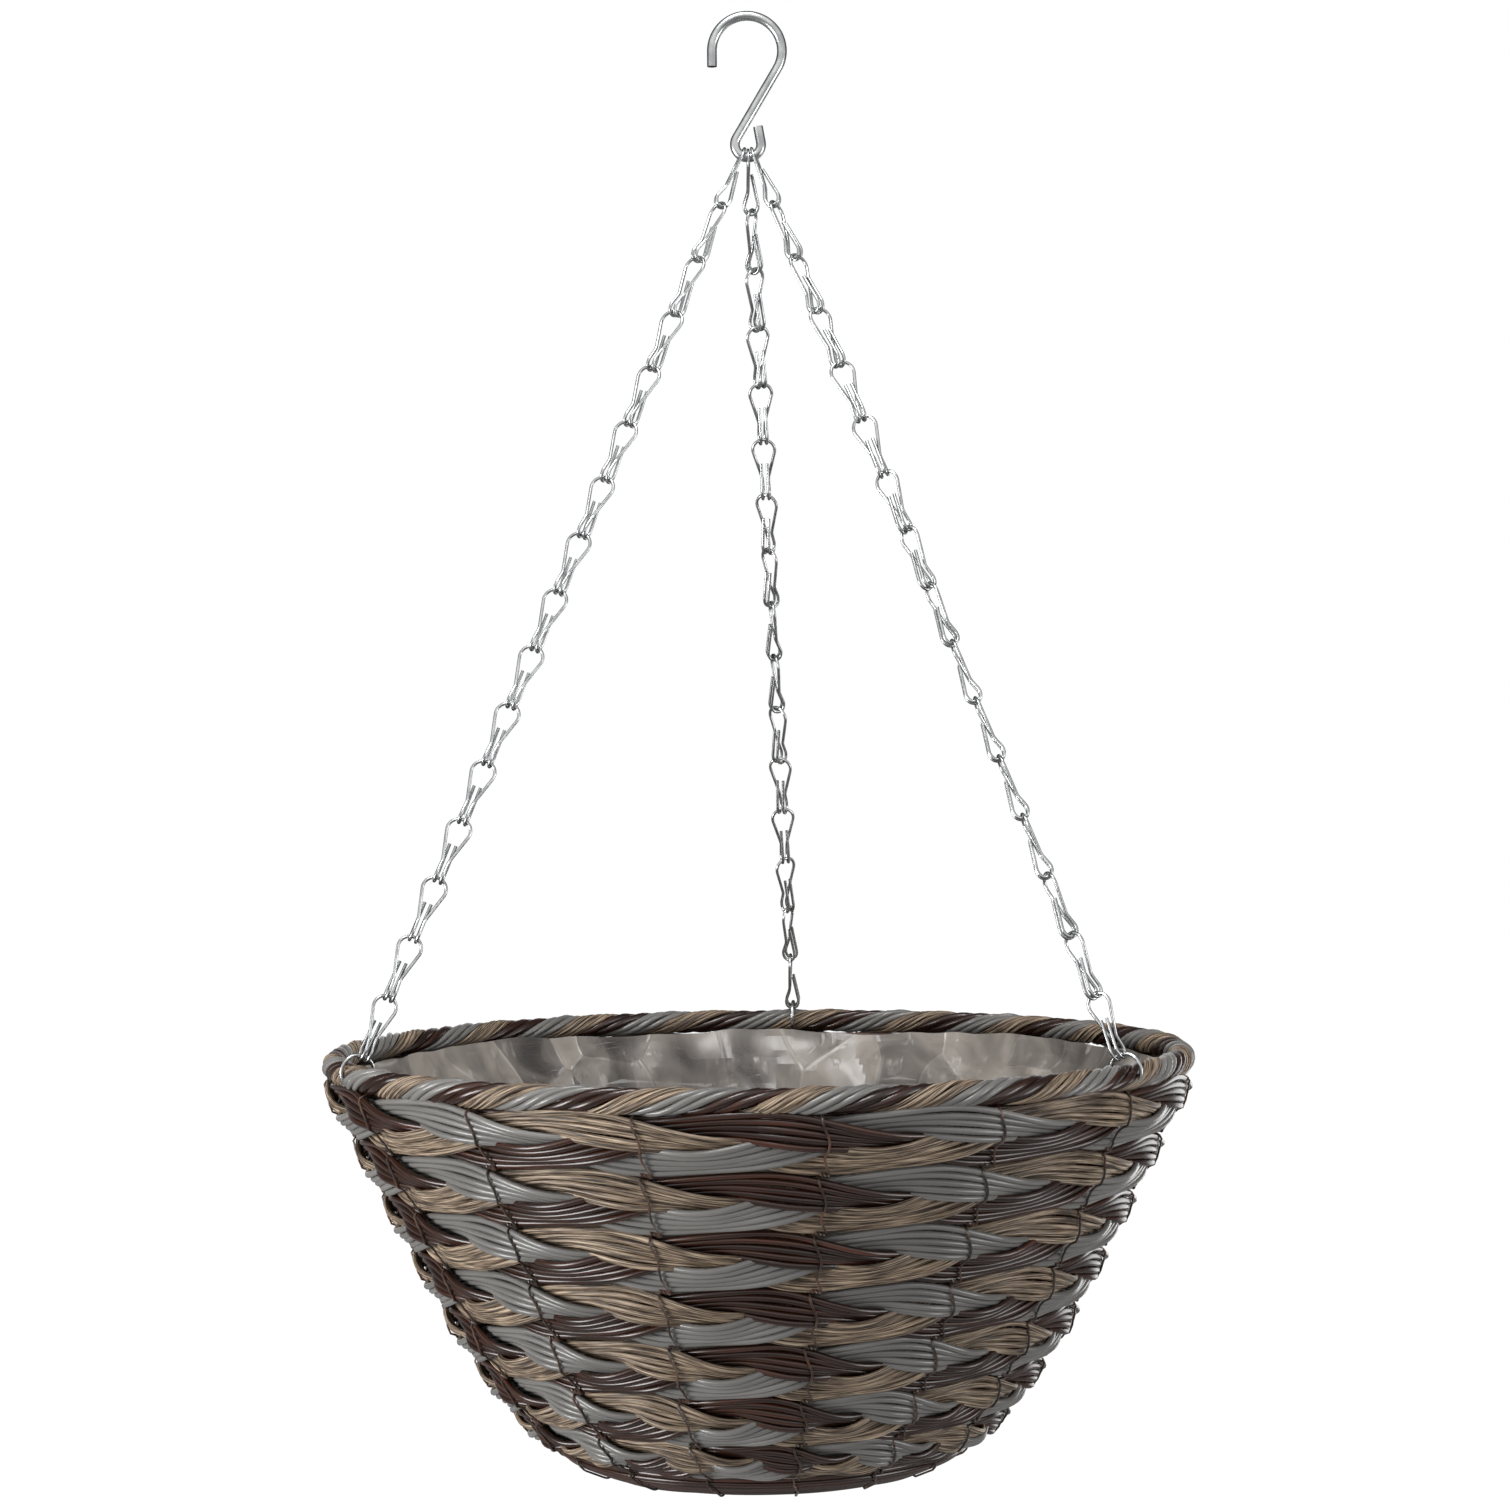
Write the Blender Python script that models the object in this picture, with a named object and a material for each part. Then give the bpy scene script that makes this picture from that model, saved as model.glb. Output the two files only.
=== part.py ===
"""Hanging basket planter: a cone of flat plaits on a wire frame, hung by three chains from one hook.

The origin is the inside top of the hook, where the planter hangs. +Z is up and the front faces -Y.
The basket, its liner and the chains hang from the bottom of the hook's eye, which is the swing axis.
Every wire link has a loop at its top and two side by side hooks at its foot that hold the next loop.
"""

import math
from collections import namedtuple

import bmesh
import bpy
from mathutils import Matrix, Vector

MM = 0.001

# Clearance left where two pieces touch, and the distance at which points are one
GAP = 0.3 * MM
MERGE = GAP / 1000

# Hook: one bent wire, an open bight above and a small eye below
HOOK_WIRE_R = 2.0 * MM
HOOK_BIGHT_R = 14.3 * MM
HOOK_EYE_DEPTH = 50.5 * MM
HOOK_TIP = 6.3 * MM
HOOK_TAIL = 6.4 * MM
EYE_FAN = math.radians(42)
EYE_LAP = math.radians(10)

# Chain links: the same bent wire, forty-eight times
LINKS_PER_CHAIN = 16
LINK_WIRE_R = 0.65 * MM
LINK_PITCH = 24.88 * MM
LINK_LOOP_R = 4.7 * MM
LINK_LOOP_CORNER = math.radians(26)
LINK_LOOP_DEPTH = 17.5 * MM
LINK_LEG_SPREAD = 2.6 * MM
LINK_HOOK_R = 3.05 * MM
LINK_HOOK_CORNER = math.radians(30)
LINK_TAIL = 16.0 * MM

# Rings: each passes through the rim rope and takes the last hooks of its chain
RING_WIRE_R = 0.75 * MM
RING_BITE_SHARE = 0.70
RING_STANDOFF = 0.8 * MM

# Rim rope
RIM_R = 171.0 * MM
ROPE_R = 5.75 * MM

# Wall of flat plaits, course by course down a curve that leans in faster towards the foot
COURSES = 7
COURSES_PER_NODE = 2
COURSE_PITCH = 25.4 * MM
COURSE_SPACE = 1.0 * MM
FOOT_COURSE_SHARE = 0.84
PLAIT_T = 8.0 * MM
PLAIT_WAIST_SHARE = 0.3
PLAIT_RIDGE_SHARE = 0.17
PLAIT_VALLEY_SHARE = -0.25
PLAIT_BACK_SHARE = 0.25
PLAIT_HOLLOW_SHARE = 0.5
PLAIT_SWAY = 1.0 * MM
RIM_LEAN = math.radians(26.5)
FOOT_LEAN = math.radians(46)
LEAN_GROWTH = 4
RIM_TUCK = math.radians(52)

# Wire frame behind the plaits
FRAME_WIRE_R = 1.25 * MM
RIBS = 16
RIB_PHASE = math.radians(6.9)
HOOP_TUCK = math.radians(240)

# Plastic film liner and woven base
LINER_T = 0.4 * MM
BASE_T = 12.0 * MM
BASE_DROP = 4.1 * MM
BASE_INSET = 3.3 * MM
BASE_EDGE = 1.2 * MM
BASE_FOOT_SHARE = 0.87
BASE_FIELD_SHARE = 0.79
BASE_HUB_R = 22.0 * MM
BASE_HOLLOW = 1.3 * MM
BASE_STAKES = 8

# Facets
HOOK_SIDES = 8
LINK_SIDES = 5
RING_SIDES = 6
ROPE_SIDES = 8
FRAME_SIDES = 4
RING_STEPS = 18
WALL_STEPS = 2 * RIBS
HOOK_ARC_STEPS = 12
SEAT_ROUNDS = 12
SHARP_ANGLE = math.radians(60)
MITRE_LIMIT_SHARE = 0.5

# How far each chain's links face round from the front, as pairs of link number and degrees.
# The last value lies along the rim's radius, because the last hooks take a ring that stands on it.
Chain = namedtuple("Chain", "name azimuth fan turns")
CHAINS = (
    Chain("left", 204.5, -1, ((1, 100), (2, 128), (4, 155), (9, 172), (13, 183), (16, 204.5))),
    Chain("back", 84.5, 0, ((1, 90), (4, 25), (6, -5), (9, -80), (10, -75), (15, 65), (16, 84.5))),
    Chain("right", 324.5, 1, ((1, 82), (4, 30), (6, -15), (10, -85), (13, -85), (16, -35.5))),
)

Finish = namedtuple("Finish", "color roughness metallic")
ZINC = Finish((0.62, 0.63, 0.64, 1.0), 0.28, 1.0)
DARK_WIRE = Finish((0.03, 0.022, 0.018, 1.0), 0.5, 0.0)
WICKER_GREY = Finish((0.16, 0.17, 0.18, 1.0), 0.6, 0.0)
WICKER_BROWN = Finish((0.05, 0.025, 0.018, 1.0), 0.5, 0.0)
WICKER_TAN = Finish((0.25, 0.18, 0.12, 1.0), 0.65, 0.0)
FILM = Finish((0.55, 0.57, 0.58, 0.45), 0.2, 0.0)


# Small geometry

def polar(radius, angle, height):
    """Point at a radius and an angle round the Z axis."""
    return Vector((radius * math.cos(angle), radius * math.sin(angle), height))


def arc(centre, radius, start, end, steps):
    """Points in the XZ plane along an arc about a centre, both ends included."""
    angles = [start + (end - start) * i / steps for i in range(steps + 1)]
    return [centre + Vector((radius * math.cos(a), 0, radius * math.sin(a))) for a in angles]


def seat_drop(loop_radius, wire_sum):
    """Depth of two parallel hook wires below the top of the round wire that they hold."""
    reach = loop_radius - wire_sum
    return loop_radius - math.sqrt(reach ** 2 - (LINK_LEG_SPREAD / 2) ** 2)


# Meshes

def new_object(name, bm, finish):
    """Object with its own mesh, shaded smooth on its round faces, and its own material."""
    bmesh.ops.recalc_face_normals(bm, faces=bm.faces)
    mesh = bpy.data.meshes.new(name)
    bm.to_mesh(mesh)
    bm.free()
    mesh.shade_smooth()
    mesh.set_sharp_from_angle(angle=SHARP_ANGLE)
    obj = bpy.data.objects.new(name, mesh)
    bpy.context.scene.collection.objects.link(obj)
    give_material(obj, name, finish)
    return obj


def give_material(obj, name, finish):
    """Principled material of the piece's own."""
    material = bpy.data.materials.new(name)
    material.use_nodes = True
    shader = material.node_tree.nodes["Principled BSDF"]
    shader.inputs["Base Color"].default_value = finish.color
    shader.inputs["Roughness"].default_value = finish.roughness
    shader.inputs["Metallic"].default_value = finish.metallic
    shader.inputs["Alpha"].default_value = finish.color[3]
    obj.data.materials.clear()
    obj.data.materials.append(material)


def add_wire(bm, points, radius, sides, closed=False):
    """Round wire along points: rings of vertices square to the path, bridged, with end caps."""
    count = len(points)
    rings = []
    normal = None
    for i, point in enumerate(points):
        before = points[i - 1] if i > 0 or closed else points[0]
        after = points[(i + 1) % count] if i < count - 1 or closed else points[-1]
        along = (after - before).normalized()
        if normal is None:
            normal = along.orthogonal().normalized()
        normal = (normal - along * normal.dot(along)).normalized()
        side = along.cross(normal)
        # A mitred ring is widened across the bend, so the wire keeps its thickness
        into = (point - before).normalized() if (point - before).length > 0 else along
        stretch = 1 / max(into.dot(along), MITRE_LIMIT_SHARE)
        bend = (after - point) - (point - before)
        bend = bend - along * bend.dot(along)
        bend = bend.normalized() if bend.length > MERGE else Vector()
        ring = []
        for k in range(sides):
            turn = math.tau * (k + 0.5) / sides
            out = radius * (normal * math.cos(turn) + side * math.sin(turn))
            out += bend * out.dot(bend) * (stretch - 1)
            ring.append(bm.verts.new(point + out))
        rings.append(ring)
    pairs = list(zip(rings, rings[1:]))
    if closed:
        pairs.append((rings[-1], rings[0]))
    for low, high in pairs:
        for k in range(sides):
            n = (k + 1) % sides
            bm.faces.new((low[k], low[n], high[n], high[k]))
    if not closed:
        bm.faces.new(reversed(rings[0]))
        bm.faces.new(rings[-1])


def add_hoop(bm, radius, height, wire_radius, sides, steps):
    """Closed wire hoop about the Z axis, with a corner at each rib."""
    points = [polar(radius, RIB_PHASE + math.tau * i / steps, height) for i in range(steps)]
    add_wire(bm, points, wire_radius, sides, closed=True)


def add_woven(bm, outline_at):
    """Closed outlines of radius and height pairs, one for each step round the Z axis, bridged.

    Each quad is split along its longer diagonal, which joins the bulges of a woven surface.
    """
    outlines = [outline_at(i) for i in range(WALL_STEPS)]
    rings = [[bm.verts.new(polar(r, RIB_PHASE + math.tau * i / WALL_STEPS, z)) for r, z in outline]
             for i, outline in enumerate(outlines)]
    for ring, ahead in zip(rings, rings[1:] + rings[:1]):
        for k in range(len(ring)):
            if outlines[0][k - 1][0] > 0 or outlines[0][k][0] > 0:
                bm.faces.new((ring[k - 1], ring[k], ahead[k], ahead[k - 1]))
    bmesh.ops.remove_doubles(bm, verts=bm.verts, dist=MERGE)
    bmesh.ops.triangulate(bm, faces=bm.faces, quad_method="LONG_EDGE")


def add_turned(bm, outline, steps):
    """Closed outline of radius and height pairs, turned round the Z axis."""
    start = Matrix.Rotation(RIB_PHASE, 3, "Z")
    verts = [bm.verts.new(start @ Vector((r, 0, z))) for r, z in outline]
    edges = [bm.edges.new((verts[i - 1], verts[i])) for i in range(len(verts))
             if outline[i - 1][0] > 0 or outline[i][0] > 0]
    bmesh.ops.spin(bm, geom=verts + edges, axis=(0, 0, 1), cent=(0, 0, 0), angle=math.tau,
                   steps=steps, use_merge=True)
    bmesh.ops.remove_doubles(bm, verts=bm.verts, dist=MERGE)


# Hook

def eye_radius():
    """Centreline radius of the eye, with room for the three top loops side by side."""
    loop_seat = HOOK_WIRE_R + LINK_WIRE_R + GAP
    return loop_seat + (2 * LINK_WIRE_R + GAP) / math.sin(EYE_FAN)


EYE_R = eye_radius()
BIGHT_CENTRE = Vector((0, 0, HOOK_WIRE_R - HOOK_BIGHT_R))
EYE_CENTRE = Vector((0, 0, -HOOK_EYE_DEPTH))
PIVOT = EYE_CENTRE - Vector((0, 0, EYE_R))


def hook_path():
    """Tip, bight, straight shank across to the eye, and the eye round to its short tail."""
    cross = math.acos((HOOK_BIGHT_R + EYE_R) / (BIGHT_CENTRE - EYE_CENTRE).length)
    bight_end = cross - math.pi / 2
    eye_start = bight_end + math.pi
    eye_end = math.tau + EYE_LAP
    points = arc(BIGHT_CENTRE, HOOK_BIGHT_R, math.pi, bight_end, HOOK_ARC_STEPS)
    points.insert(0, points[0] - Vector((0, 0, HOOK_TIP)))
    points += arc(EYE_CENTRE, EYE_R, eye_start, eye_end, HOOK_ARC_STEPS)
    points.append(points[-1] + HOOK_TAIL * Vector((-math.sin(eye_end), 0, math.cos(eye_end))))
    return points


def make_hook():
    bm = bmesh.new()
    add_wire(bm, hook_path(), HOOK_WIRE_R, HOOK_SIDES)
    return new_object("hook", bm, ZINC)


# Chain links

LINK_FOOT_Z = -(LINK_PITCH + 2 * LINK_WIRE_R + GAP)
LINK_NECK_Y = LINK_WIRE_R + GAP


def link_half():
    """Centreline of one half of a link, from the flat top of its loop to its free end.

    Both bends are drawn round their circles, so loop and hook bear on each other on flats.
    """
    half_spread = LINK_LEG_SPREAD / 2
    corner_r = LINK_LOOP_R / math.cos(LINK_LOOP_CORNER)
    loop = [Vector((corner_r * math.sin(a), 0, corner_r * math.cos(a) - LINK_LOOP_R))
            for a in (LINK_LOOP_CORNER, 3 * LINK_LOOP_CORNER)]
    neck = Vector((half_spread, LINK_NECK_Y, -LINK_LOOP_DEPTH))
    hook_z = LINK_FOOT_Z + LINK_HOOK_R
    corner_y = LINK_HOOK_R * math.tan(LINK_HOOK_CORNER)
    bend = [Vector((half_spread, LINK_HOOK_R, hook_z)), Vector((half_spread, corner_y, LINK_FOOT_Z)),
            Vector((half_spread, -corner_y, LINK_FOOT_Z)), Vector((half_spread, -LINK_HOOK_R, hook_z))]
    tail_end = Vector((half_spread, -LINK_NECK_Y, LINK_FOOT_Z + LINK_TAIL))
    return loop + [neck] + bend + [tail_end]


def link_mesh():
    half = link_half()
    mirrored = [Vector((-p.x, p.y, p.z)) for p in reversed(half)]
    bm = bmesh.new()
    add_wire(bm, mirrored + half, LINK_WIRE_R, LINK_SIDES)
    return bm


# Rings on the rim

def ring_radius():
    """Centreline radius of a ring that passes under the rope's middle and clears it on top."""
    bite = ROPE_R * RING_BITE_SHARE
    radius = ROPE_R
    for _ in range(SEAT_ROUNDS):
        drop = seat_drop(radius, LINK_WIRE_R + RING_WIRE_R + GAP)
        radius = (bite + ROPE_R + RING_STANDOFF + LINK_WIRE_R + drop) / 2
    return radius


RING_R = ring_radius()
RING_LIFT = RING_R - ROPE_R * RING_BITE_SHARE


def hang_depths():
    """Slope of the chains and the height of the ring centres, from the length of the chains."""
    chain = LINKS_PER_CHAIN * LINK_PITCH
    top = EYE_CENTRE.z - EYE_R + HOOK_WIRE_R + LINK_WIRE_R + GAP
    slope = math.asin(RIM_R / (chain + RING_R + RING_LIFT))
    ring_r = RIM_R - RING_LIFT * math.sin(slope)
    ring_z = top - (chain + RING_R) * math.cos(slope)
    rim_z = ring_z - RING_LIFT * math.cos(slope)
    return slope, ring_r, ring_z, rim_z


SLOPE, RING_CENTRE_R, RING_CENTRE_Z, RIM_Z = hang_depths()


def top_loop(chain):
    """Top of the wire of a chain's first loop, seated in the eye beside its two neighbours."""
    seat = HOOK_WIRE_R + LINK_WIRE_R + GAP
    out = -seat * math.sin(SLOPE) * math.sin(math.radians(chain.azimuth))
    inside = EYE_R - math.sqrt(seat ** 2 - out ** 2)
    fan = chain.fan * EYE_FAN
    return EYE_CENTRE + Vector((inside * math.sin(fan), out, -inside * math.cos(fan)))


def ring_centre(chain):
    return polar(RING_CENTRE_R, math.radians(chain.azimuth), RING_CENTRE_Z)


def facing(chain, number):
    """Angle, from the front, that a link's loop faces, between the chain's stated turns."""
    for (low, start), (high, end) in zip(chain.turns, chain.turns[1:]):
        if low <= number <= high:
            return math.radians(start + (end - start) * (number - low) / (high - low))
    raise ValueError(f"link {number} lies outside the turns of the {chain.name} chain")


def link_matrix(top, up, angle):
    """Places a link with its loop's top at a point, along the chain, with its loop facing an angle."""
    across = Vector((math.cos(angle), math.sin(angle), 0))
    across = (across - up * across.dot(up)).normalized()
    turn = Matrix((across, up.cross(across), up)).transposed().to_4x4()
    return Matrix.Translation(top) @ turn


def make_chain(chain, mesh_source):
    """The links of one chain, each its own object on one shared shape."""
    start = top_loop(chain)
    run = ring_centre(chain) - start
    pitch = (run.length - RING_R) / LINKS_PER_CHAIN
    links = []
    for number in range(1, LINKS_PER_CHAIN + 1):
        name = f"{chain.name}_chain_link_{number:02d}"
        link = bpy.data.objects.new(name, mesh_source.copy())
        link.data.name = name
        bpy.context.scene.collection.objects.link(link)
        give_material(link, name, ZINC)
        top = start + run.normalized() * pitch * (number - 1)
        link.matrix_basis = link_matrix(top, -run.normalized(), facing(chain, number))
        links.append(link)
    return links


def make_chains():
    bm = link_mesh()
    bmesh.ops.recalc_face_normals(bm, faces=bm.faces)
    source = bpy.data.meshes.new("link_shape")
    bm.to_mesh(source)
    bm.free()
    source.shade_smooth()
    links = []
    for chain in CHAINS:
        links += make_chain(chain, source)
    bpy.data.meshes.remove(source)
    return links


def ring_points(chain, steps):
    """Circle that stands on the rim's radius, about the ring's centre."""
    outward = polar(1, math.radians(chain.azimuth), 0)
    up = Vector((0, 0, 1))
    angles = [math.tau * i / steps for i in range(steps)]
    return [RING_R * (outward * math.cos(a) + up * math.sin(a)) for a in angles]


def make_ring(chain):
    bm = bmesh.new()
    add_wire(bm, ring_points(chain, RING_STEPS), RING_WIRE_R, RING_SIDES, closed=True)
    ring = new_object(f"{chain.name}_ring", bm, ZINC)
    ring.location = ring_centre(chain)
    return ring


# Wall curve

Spot = namedtuple("Spot", "r z lean height")


def shifted(spot, out, along):
    """Point beside a spot of the wall: out through the wall, and along it towards the foot."""
    r = spot.r + out * math.cos(spot.lean) - along * math.sin(spot.lean)
    z = spot.z - out * math.sin(spot.lean) - along * math.cos(spot.lean)
    return r, z


PLAIT_H = COURSE_PITCH - COURSE_SPACE


def course_height(course):
    return PLAIT_H * (FOOT_COURSE_SHARE if course == COURSES - 1 else 1)


def wall_spots():
    """Middle of each course, stepping down the wall from its tuck under the rim rope."""
    reach = ROPE_R + GAP
    r = RIM_R + reach * math.cos(RIM_TUCK) - PLAIT_H / 2 * math.sin(RIM_LEAN)
    z = RIM_Z - reach * math.sin(RIM_TUCK) - PLAIT_H / 2 * math.cos(RIM_LEAN)
    spots = []
    for i in range(COURSES):
        spots.append(Spot(r, z, lean_at(i), course_height(i)))
        step = (course_height(i) + course_height(i + 1)) / 2 + COURSE_SPACE
        middle = lean_at(i + 0.5)
        r -= step * math.sin(middle)
        z -= step * math.cos(middle)
    return spots


def lean_at(course):
    return RIM_LEAN + (FOOT_LEAN - RIM_LEAN) * (course / (COURSES - 1)) ** LEAN_GROWTH


WALL = wall_spots()


def plait_sides(spot, over):
    """Outer and inner ridges of a plait, each from its upper to its lower one.

    The three ribbons lie outside in one half of the plait's height and inside in the other, and change
    places between each rib and the middle of the space to the next rib.
    """
    outs = (PLAIT_T / 2, PLAIT_T / 2 * PLAIT_VALLEY_SHARE)
    ins = (-PLAIT_T / 2 * PLAIT_HOLLOW_SHARE, -PLAIT_T / 2)
    if not over:
        outs, ins = outs[::-1], ins[::-1]
    ridge, back = spot.height * PLAIT_RIDGE_SHARE, spot.height * PLAIT_BACK_SHARE
    outer = [shifted(spot, outs[0], -ridge), shifted(spot, outs[1], ridge)]
    inner = [shifted(spot, ins[0], -back), shifted(spot, ins[1], back)]
    return outer, inner


def waist(upper, lower, side, sway):
    """Narrow web between two courses of one node."""
    edge = shifted(upper, side * PLAIT_T / 2 * PLAIT_WAIST_SHARE, upper.height / 2 + sway)
    other = shifted(lower, side * PLAIT_T / 2 * PLAIT_WAIST_SHARE, sway - lower.height / 2)
    return ((edge[0] + other[0]) / 2, (edge[1] + other[1]) / 2)


def plait_outline(spots, over):
    """Closed outline of neighbouring courses at one azimuth: down the outside and up the inside.

    The edges between two courses sway with the ribbons. The first and last edges of the wall stay level.
    """
    sway = PLAIT_SWAY if over else -PLAIT_SWAY
    top_sway = 0 if spots[0] is WALL[0] else sway
    foot_sway = 0 if spots[-1] is WALL[-1] else sway
    outside = [shifted(spots[0], 0, top_sway - spots[0].height / 2)]
    inside = []
    for i, spot in enumerate(spots):
        outer, inner = plait_sides(spot, over)
        outside += outer
        inside += inner
        if i + 1 < len(spots):
            outside.append(waist(spot, spots[i + 1], 1, sway))
            inside.append(waist(spot, spots[i + 1], -1, sway))
    outside.append(shifted(spots[-1], 0, foot_sway + spots[-1].height / 2))
    return outside + inside[::-1]


def make_plaits():
    """Plaits whose upper halves lie outside at each rib, and whose lower halves do between ribs."""
    finishes = (WICKER_BROWN, WICKER_GREY, WICKER_TAN, WICKER_BROWN)
    plaits = []
    for first, finish in zip(range(0, COURSES, COURSES_PER_NODE), finishes):
        spots = WALL[first:first + COURSES_PER_NODE]
        outlines = [plait_outline(spots, over) for over in (True, False)]
        bm = bmesh.new()
        add_woven(bm, lambda step: outlines[step % len(outlines)])
        numbers = "_".join(str(first + i + 1) for i in range(len(spots)))
        kind = "courses" if len(spots) > 1 else "course"
        plaits.append(new_object(f"plait_{kind}_{numbers}", bm, finish))
    return plaits


# Rim rope

def make_rope():
    """Rim rope with a channel for each ring."""
    bm = bmesh.new()
    add_hoop(bm, RIM_R, RIM_Z, ROPE_R, ROPE_SIDES, WALL_STEPS)
    rope = new_object("rim_rope", bm, WICKER_GREY)
    for chain in CHAINS:
        bm = bmesh.new()
        add_wire(bm, ring_points(chain, RING_STEPS), RING_WIRE_R + GAP, RING_SIDES, closed=True)
        channel = new_object(f"{chain.name}_ring_channel", bm, WICKER_GREY)
        channel.location = ring_centre(chain)
        combine(rope, channel, "DIFFERENCE")
    return rope


def combine(obj, tool, operation):
    """Boolean on an object, with the other shape kept as a hidden tool."""
    modifier = obj.modifiers.new(tool.name, "BOOLEAN")
    modifier.operation = operation
    modifier.object = tool
    tool.hide_render = True
    tool.display_type = "WIRE"


# Base

def foot_point():
    """Lowest point of the last course."""
    return shifted(WALL[-1], 0, WALL[-1].height / 2)


BASE_R = foot_point()[0] - BASE_INSET
BASE_TOP_R = foot_point()[0] - BASE_EDGE
BASE_FOOT_R = BASE_R * BASE_FOOT_SHARE
BASE_FIELD_R = BASE_R * BASE_FIELD_SHARE
BASE_MID_Z = foot_point()[1] - BASE_DROP
BASE_TOP_Z = BASE_MID_Z + BASE_T / 2
BASE_FOOT_Z = BASE_MID_Z - BASE_T / 2


def base_outline(step):
    """Outline of the base at one azimuth: its field lies back from border and hub, but not at a stake."""
    at_stake = step % (WALL_STEPS // BASE_STAKES) == 0
    field_z = BASE_FOOT_Z + (0 if at_stake else BASE_HOLLOW)
    return [(0, BASE_TOP_Z), (BASE_TOP_R, BASE_TOP_Z), (BASE_R, BASE_MID_Z), (BASE_FOOT_R, BASE_FOOT_Z),
            (BASE_FIELD_R, field_z), (BASE_HUB_R + BASE_HOLLOW, field_z), (BASE_HUB_R, BASE_FOOT_Z),
            (0, BASE_FOOT_Z)]


def make_base():
    """Woven disc with a plain border, a flat hub and a ridge over each of its stakes."""
    bm = bmesh.new()
    add_woven(bm, base_outline)
    return new_object("base_weave", bm, WICKER_BROWN)


# Wire frame

TOP_HOOP_R = RIM_R + (ROPE_R + GAP + FRAME_WIRE_R) * math.cos(HOOP_TUCK)
TOP_HOOP_Z = RIM_Z + (ROPE_R + GAP + FRAME_WIRE_R) * math.sin(HOOP_TUCK)
FOOT_HOOP_R = BASE_R - 2 * FRAME_WIRE_R
FOOT_HOOP_Z = BASE_TOP_Z + GAP + FRAME_WIRE_R
RIB_INSET = PLAIT_T / 2 + GAP + FRAME_WIRE_R
RIB_SPOTS = WALL[1:2] + WALL[3:]


def rib_points(angle):
    """Rib from the top hoop, down behind the plaits, to the foot hoop."""
    spots = [(TOP_HOOP_R, TOP_HOOP_Z)]
    spots += [shifted(spot, -RIB_INSET, 0) for spot in RIB_SPOTS]
    spots.append((FOOT_HOOP_R, FOOT_HOOP_Z))
    return [polar(r, angle, z) for r, z in spots]


def make_frame():
    """Two hoops welded to upright ribs, as one body."""
    bm = bmesh.new()
    add_hoop(bm, TOP_HOOP_R, TOP_HOOP_Z, FRAME_WIRE_R, FRAME_SIDES, WALL_STEPS)
    frame = new_object("wire_frame", bm, DARK_WIRE)
    bm = bmesh.new()
    for i in range(RIBS):
        add_wire(bm, rib_points(RIB_PHASE + math.tau * i / RIBS), FRAME_WIRE_R, FRAME_SIDES)
    combine(frame, new_object("frame_ribs", bm, DARK_WIRE), "UNION")
    bm = bmesh.new()
    add_hoop(bm, FOOT_HOOP_R, FOOT_HOOP_Z, FRAME_WIRE_R, FRAME_SIDES, WALL_STEPS)
    combine(frame, new_object("frame_foot_hoop", bm, DARK_WIRE), "UNION")
    return frame


# Liner

LINER_INSET = RIB_INSET + FRAME_WIRE_R + GAP
LINER_SPOTS = WALL[:1] + WALL[3:4] + WALL[5:]


def make_liner():
    """Cup of film inside the frame, open at the top, with its edge under the rim rope."""
    top_r = TOP_HOOP_R - FRAME_WIRE_R - GAP
    top_z = RIM_Z - math.sqrt((ROPE_R + GAP) ** 2 - (RIM_R - top_r) ** 2) - GAP
    floor_r = FOOT_HOOP_R - FRAME_WIRE_R - GAP
    floor_z = FOOT_HOOP_Z + FRAME_WIRE_R + GAP
    outside = [(top_r, top_z)]
    outside += [shifted(spot, -LINER_INSET, 0) for spot in LINER_SPOTS]
    outside += [(floor_r, floor_z), (0, floor_z)]
    inside = [(top_r - LINER_T, top_z)]
    inside += [shifted(spot, -LINER_INSET - LINER_T, 0) for spot in LINER_SPOTS]
    inside += [(floor_r - LINER_T, floor_z + LINER_T), (0, floor_z + LINER_T)]
    bm = bmesh.new()
    add_turned(bm, outside + inside[::-1], WALL_STEPS)
    return new_object("liner", bm, FILM)


# Assembly

def hang(pieces):
    """Parents what swings with the basket to an empty on the swing axis."""
    pivot = bpy.data.objects.new("basket_swing_axis", None)
    bpy.context.scene.collection.objects.link(pivot)
    pivot.location = PIVOT
    for piece in pieces:
        piece.parent = pivot
        piece.matrix_parent_inverse = Matrix.Translation(-PIVOT)


def build():
    for obj in list(bpy.data.objects):
        bpy.data.objects.remove(obj)
    make_hook()
    pieces = make_chains()
    pieces += [make_ring(chain) for chain in CHAINS]
    pieces += [make_rope(), make_frame(), make_liner(), make_base()]
    pieces += make_plaits()
    hang(pieces)


build()
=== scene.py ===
"""Looks of the hanging basket planter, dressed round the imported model.

The basket is a wall of seven flat plaits in brown, grey and tan strands, tied with dark wire to a wire frame.
It has a laid rope round its rim, a coiled base, a crumpled film liner, and three chains of bent wire links
that gather on one hook. Everything is in metres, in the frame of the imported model. Each rate says how fast a
random run varies, and the other numbers in a seed or a place in the noise only keep the runs apart.
"""

import logging
import math
from dataclasses import dataclass, field
from enum import Enum

import bpy
import numpy as np
from mathutils import Matrix, Vector, noise


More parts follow.
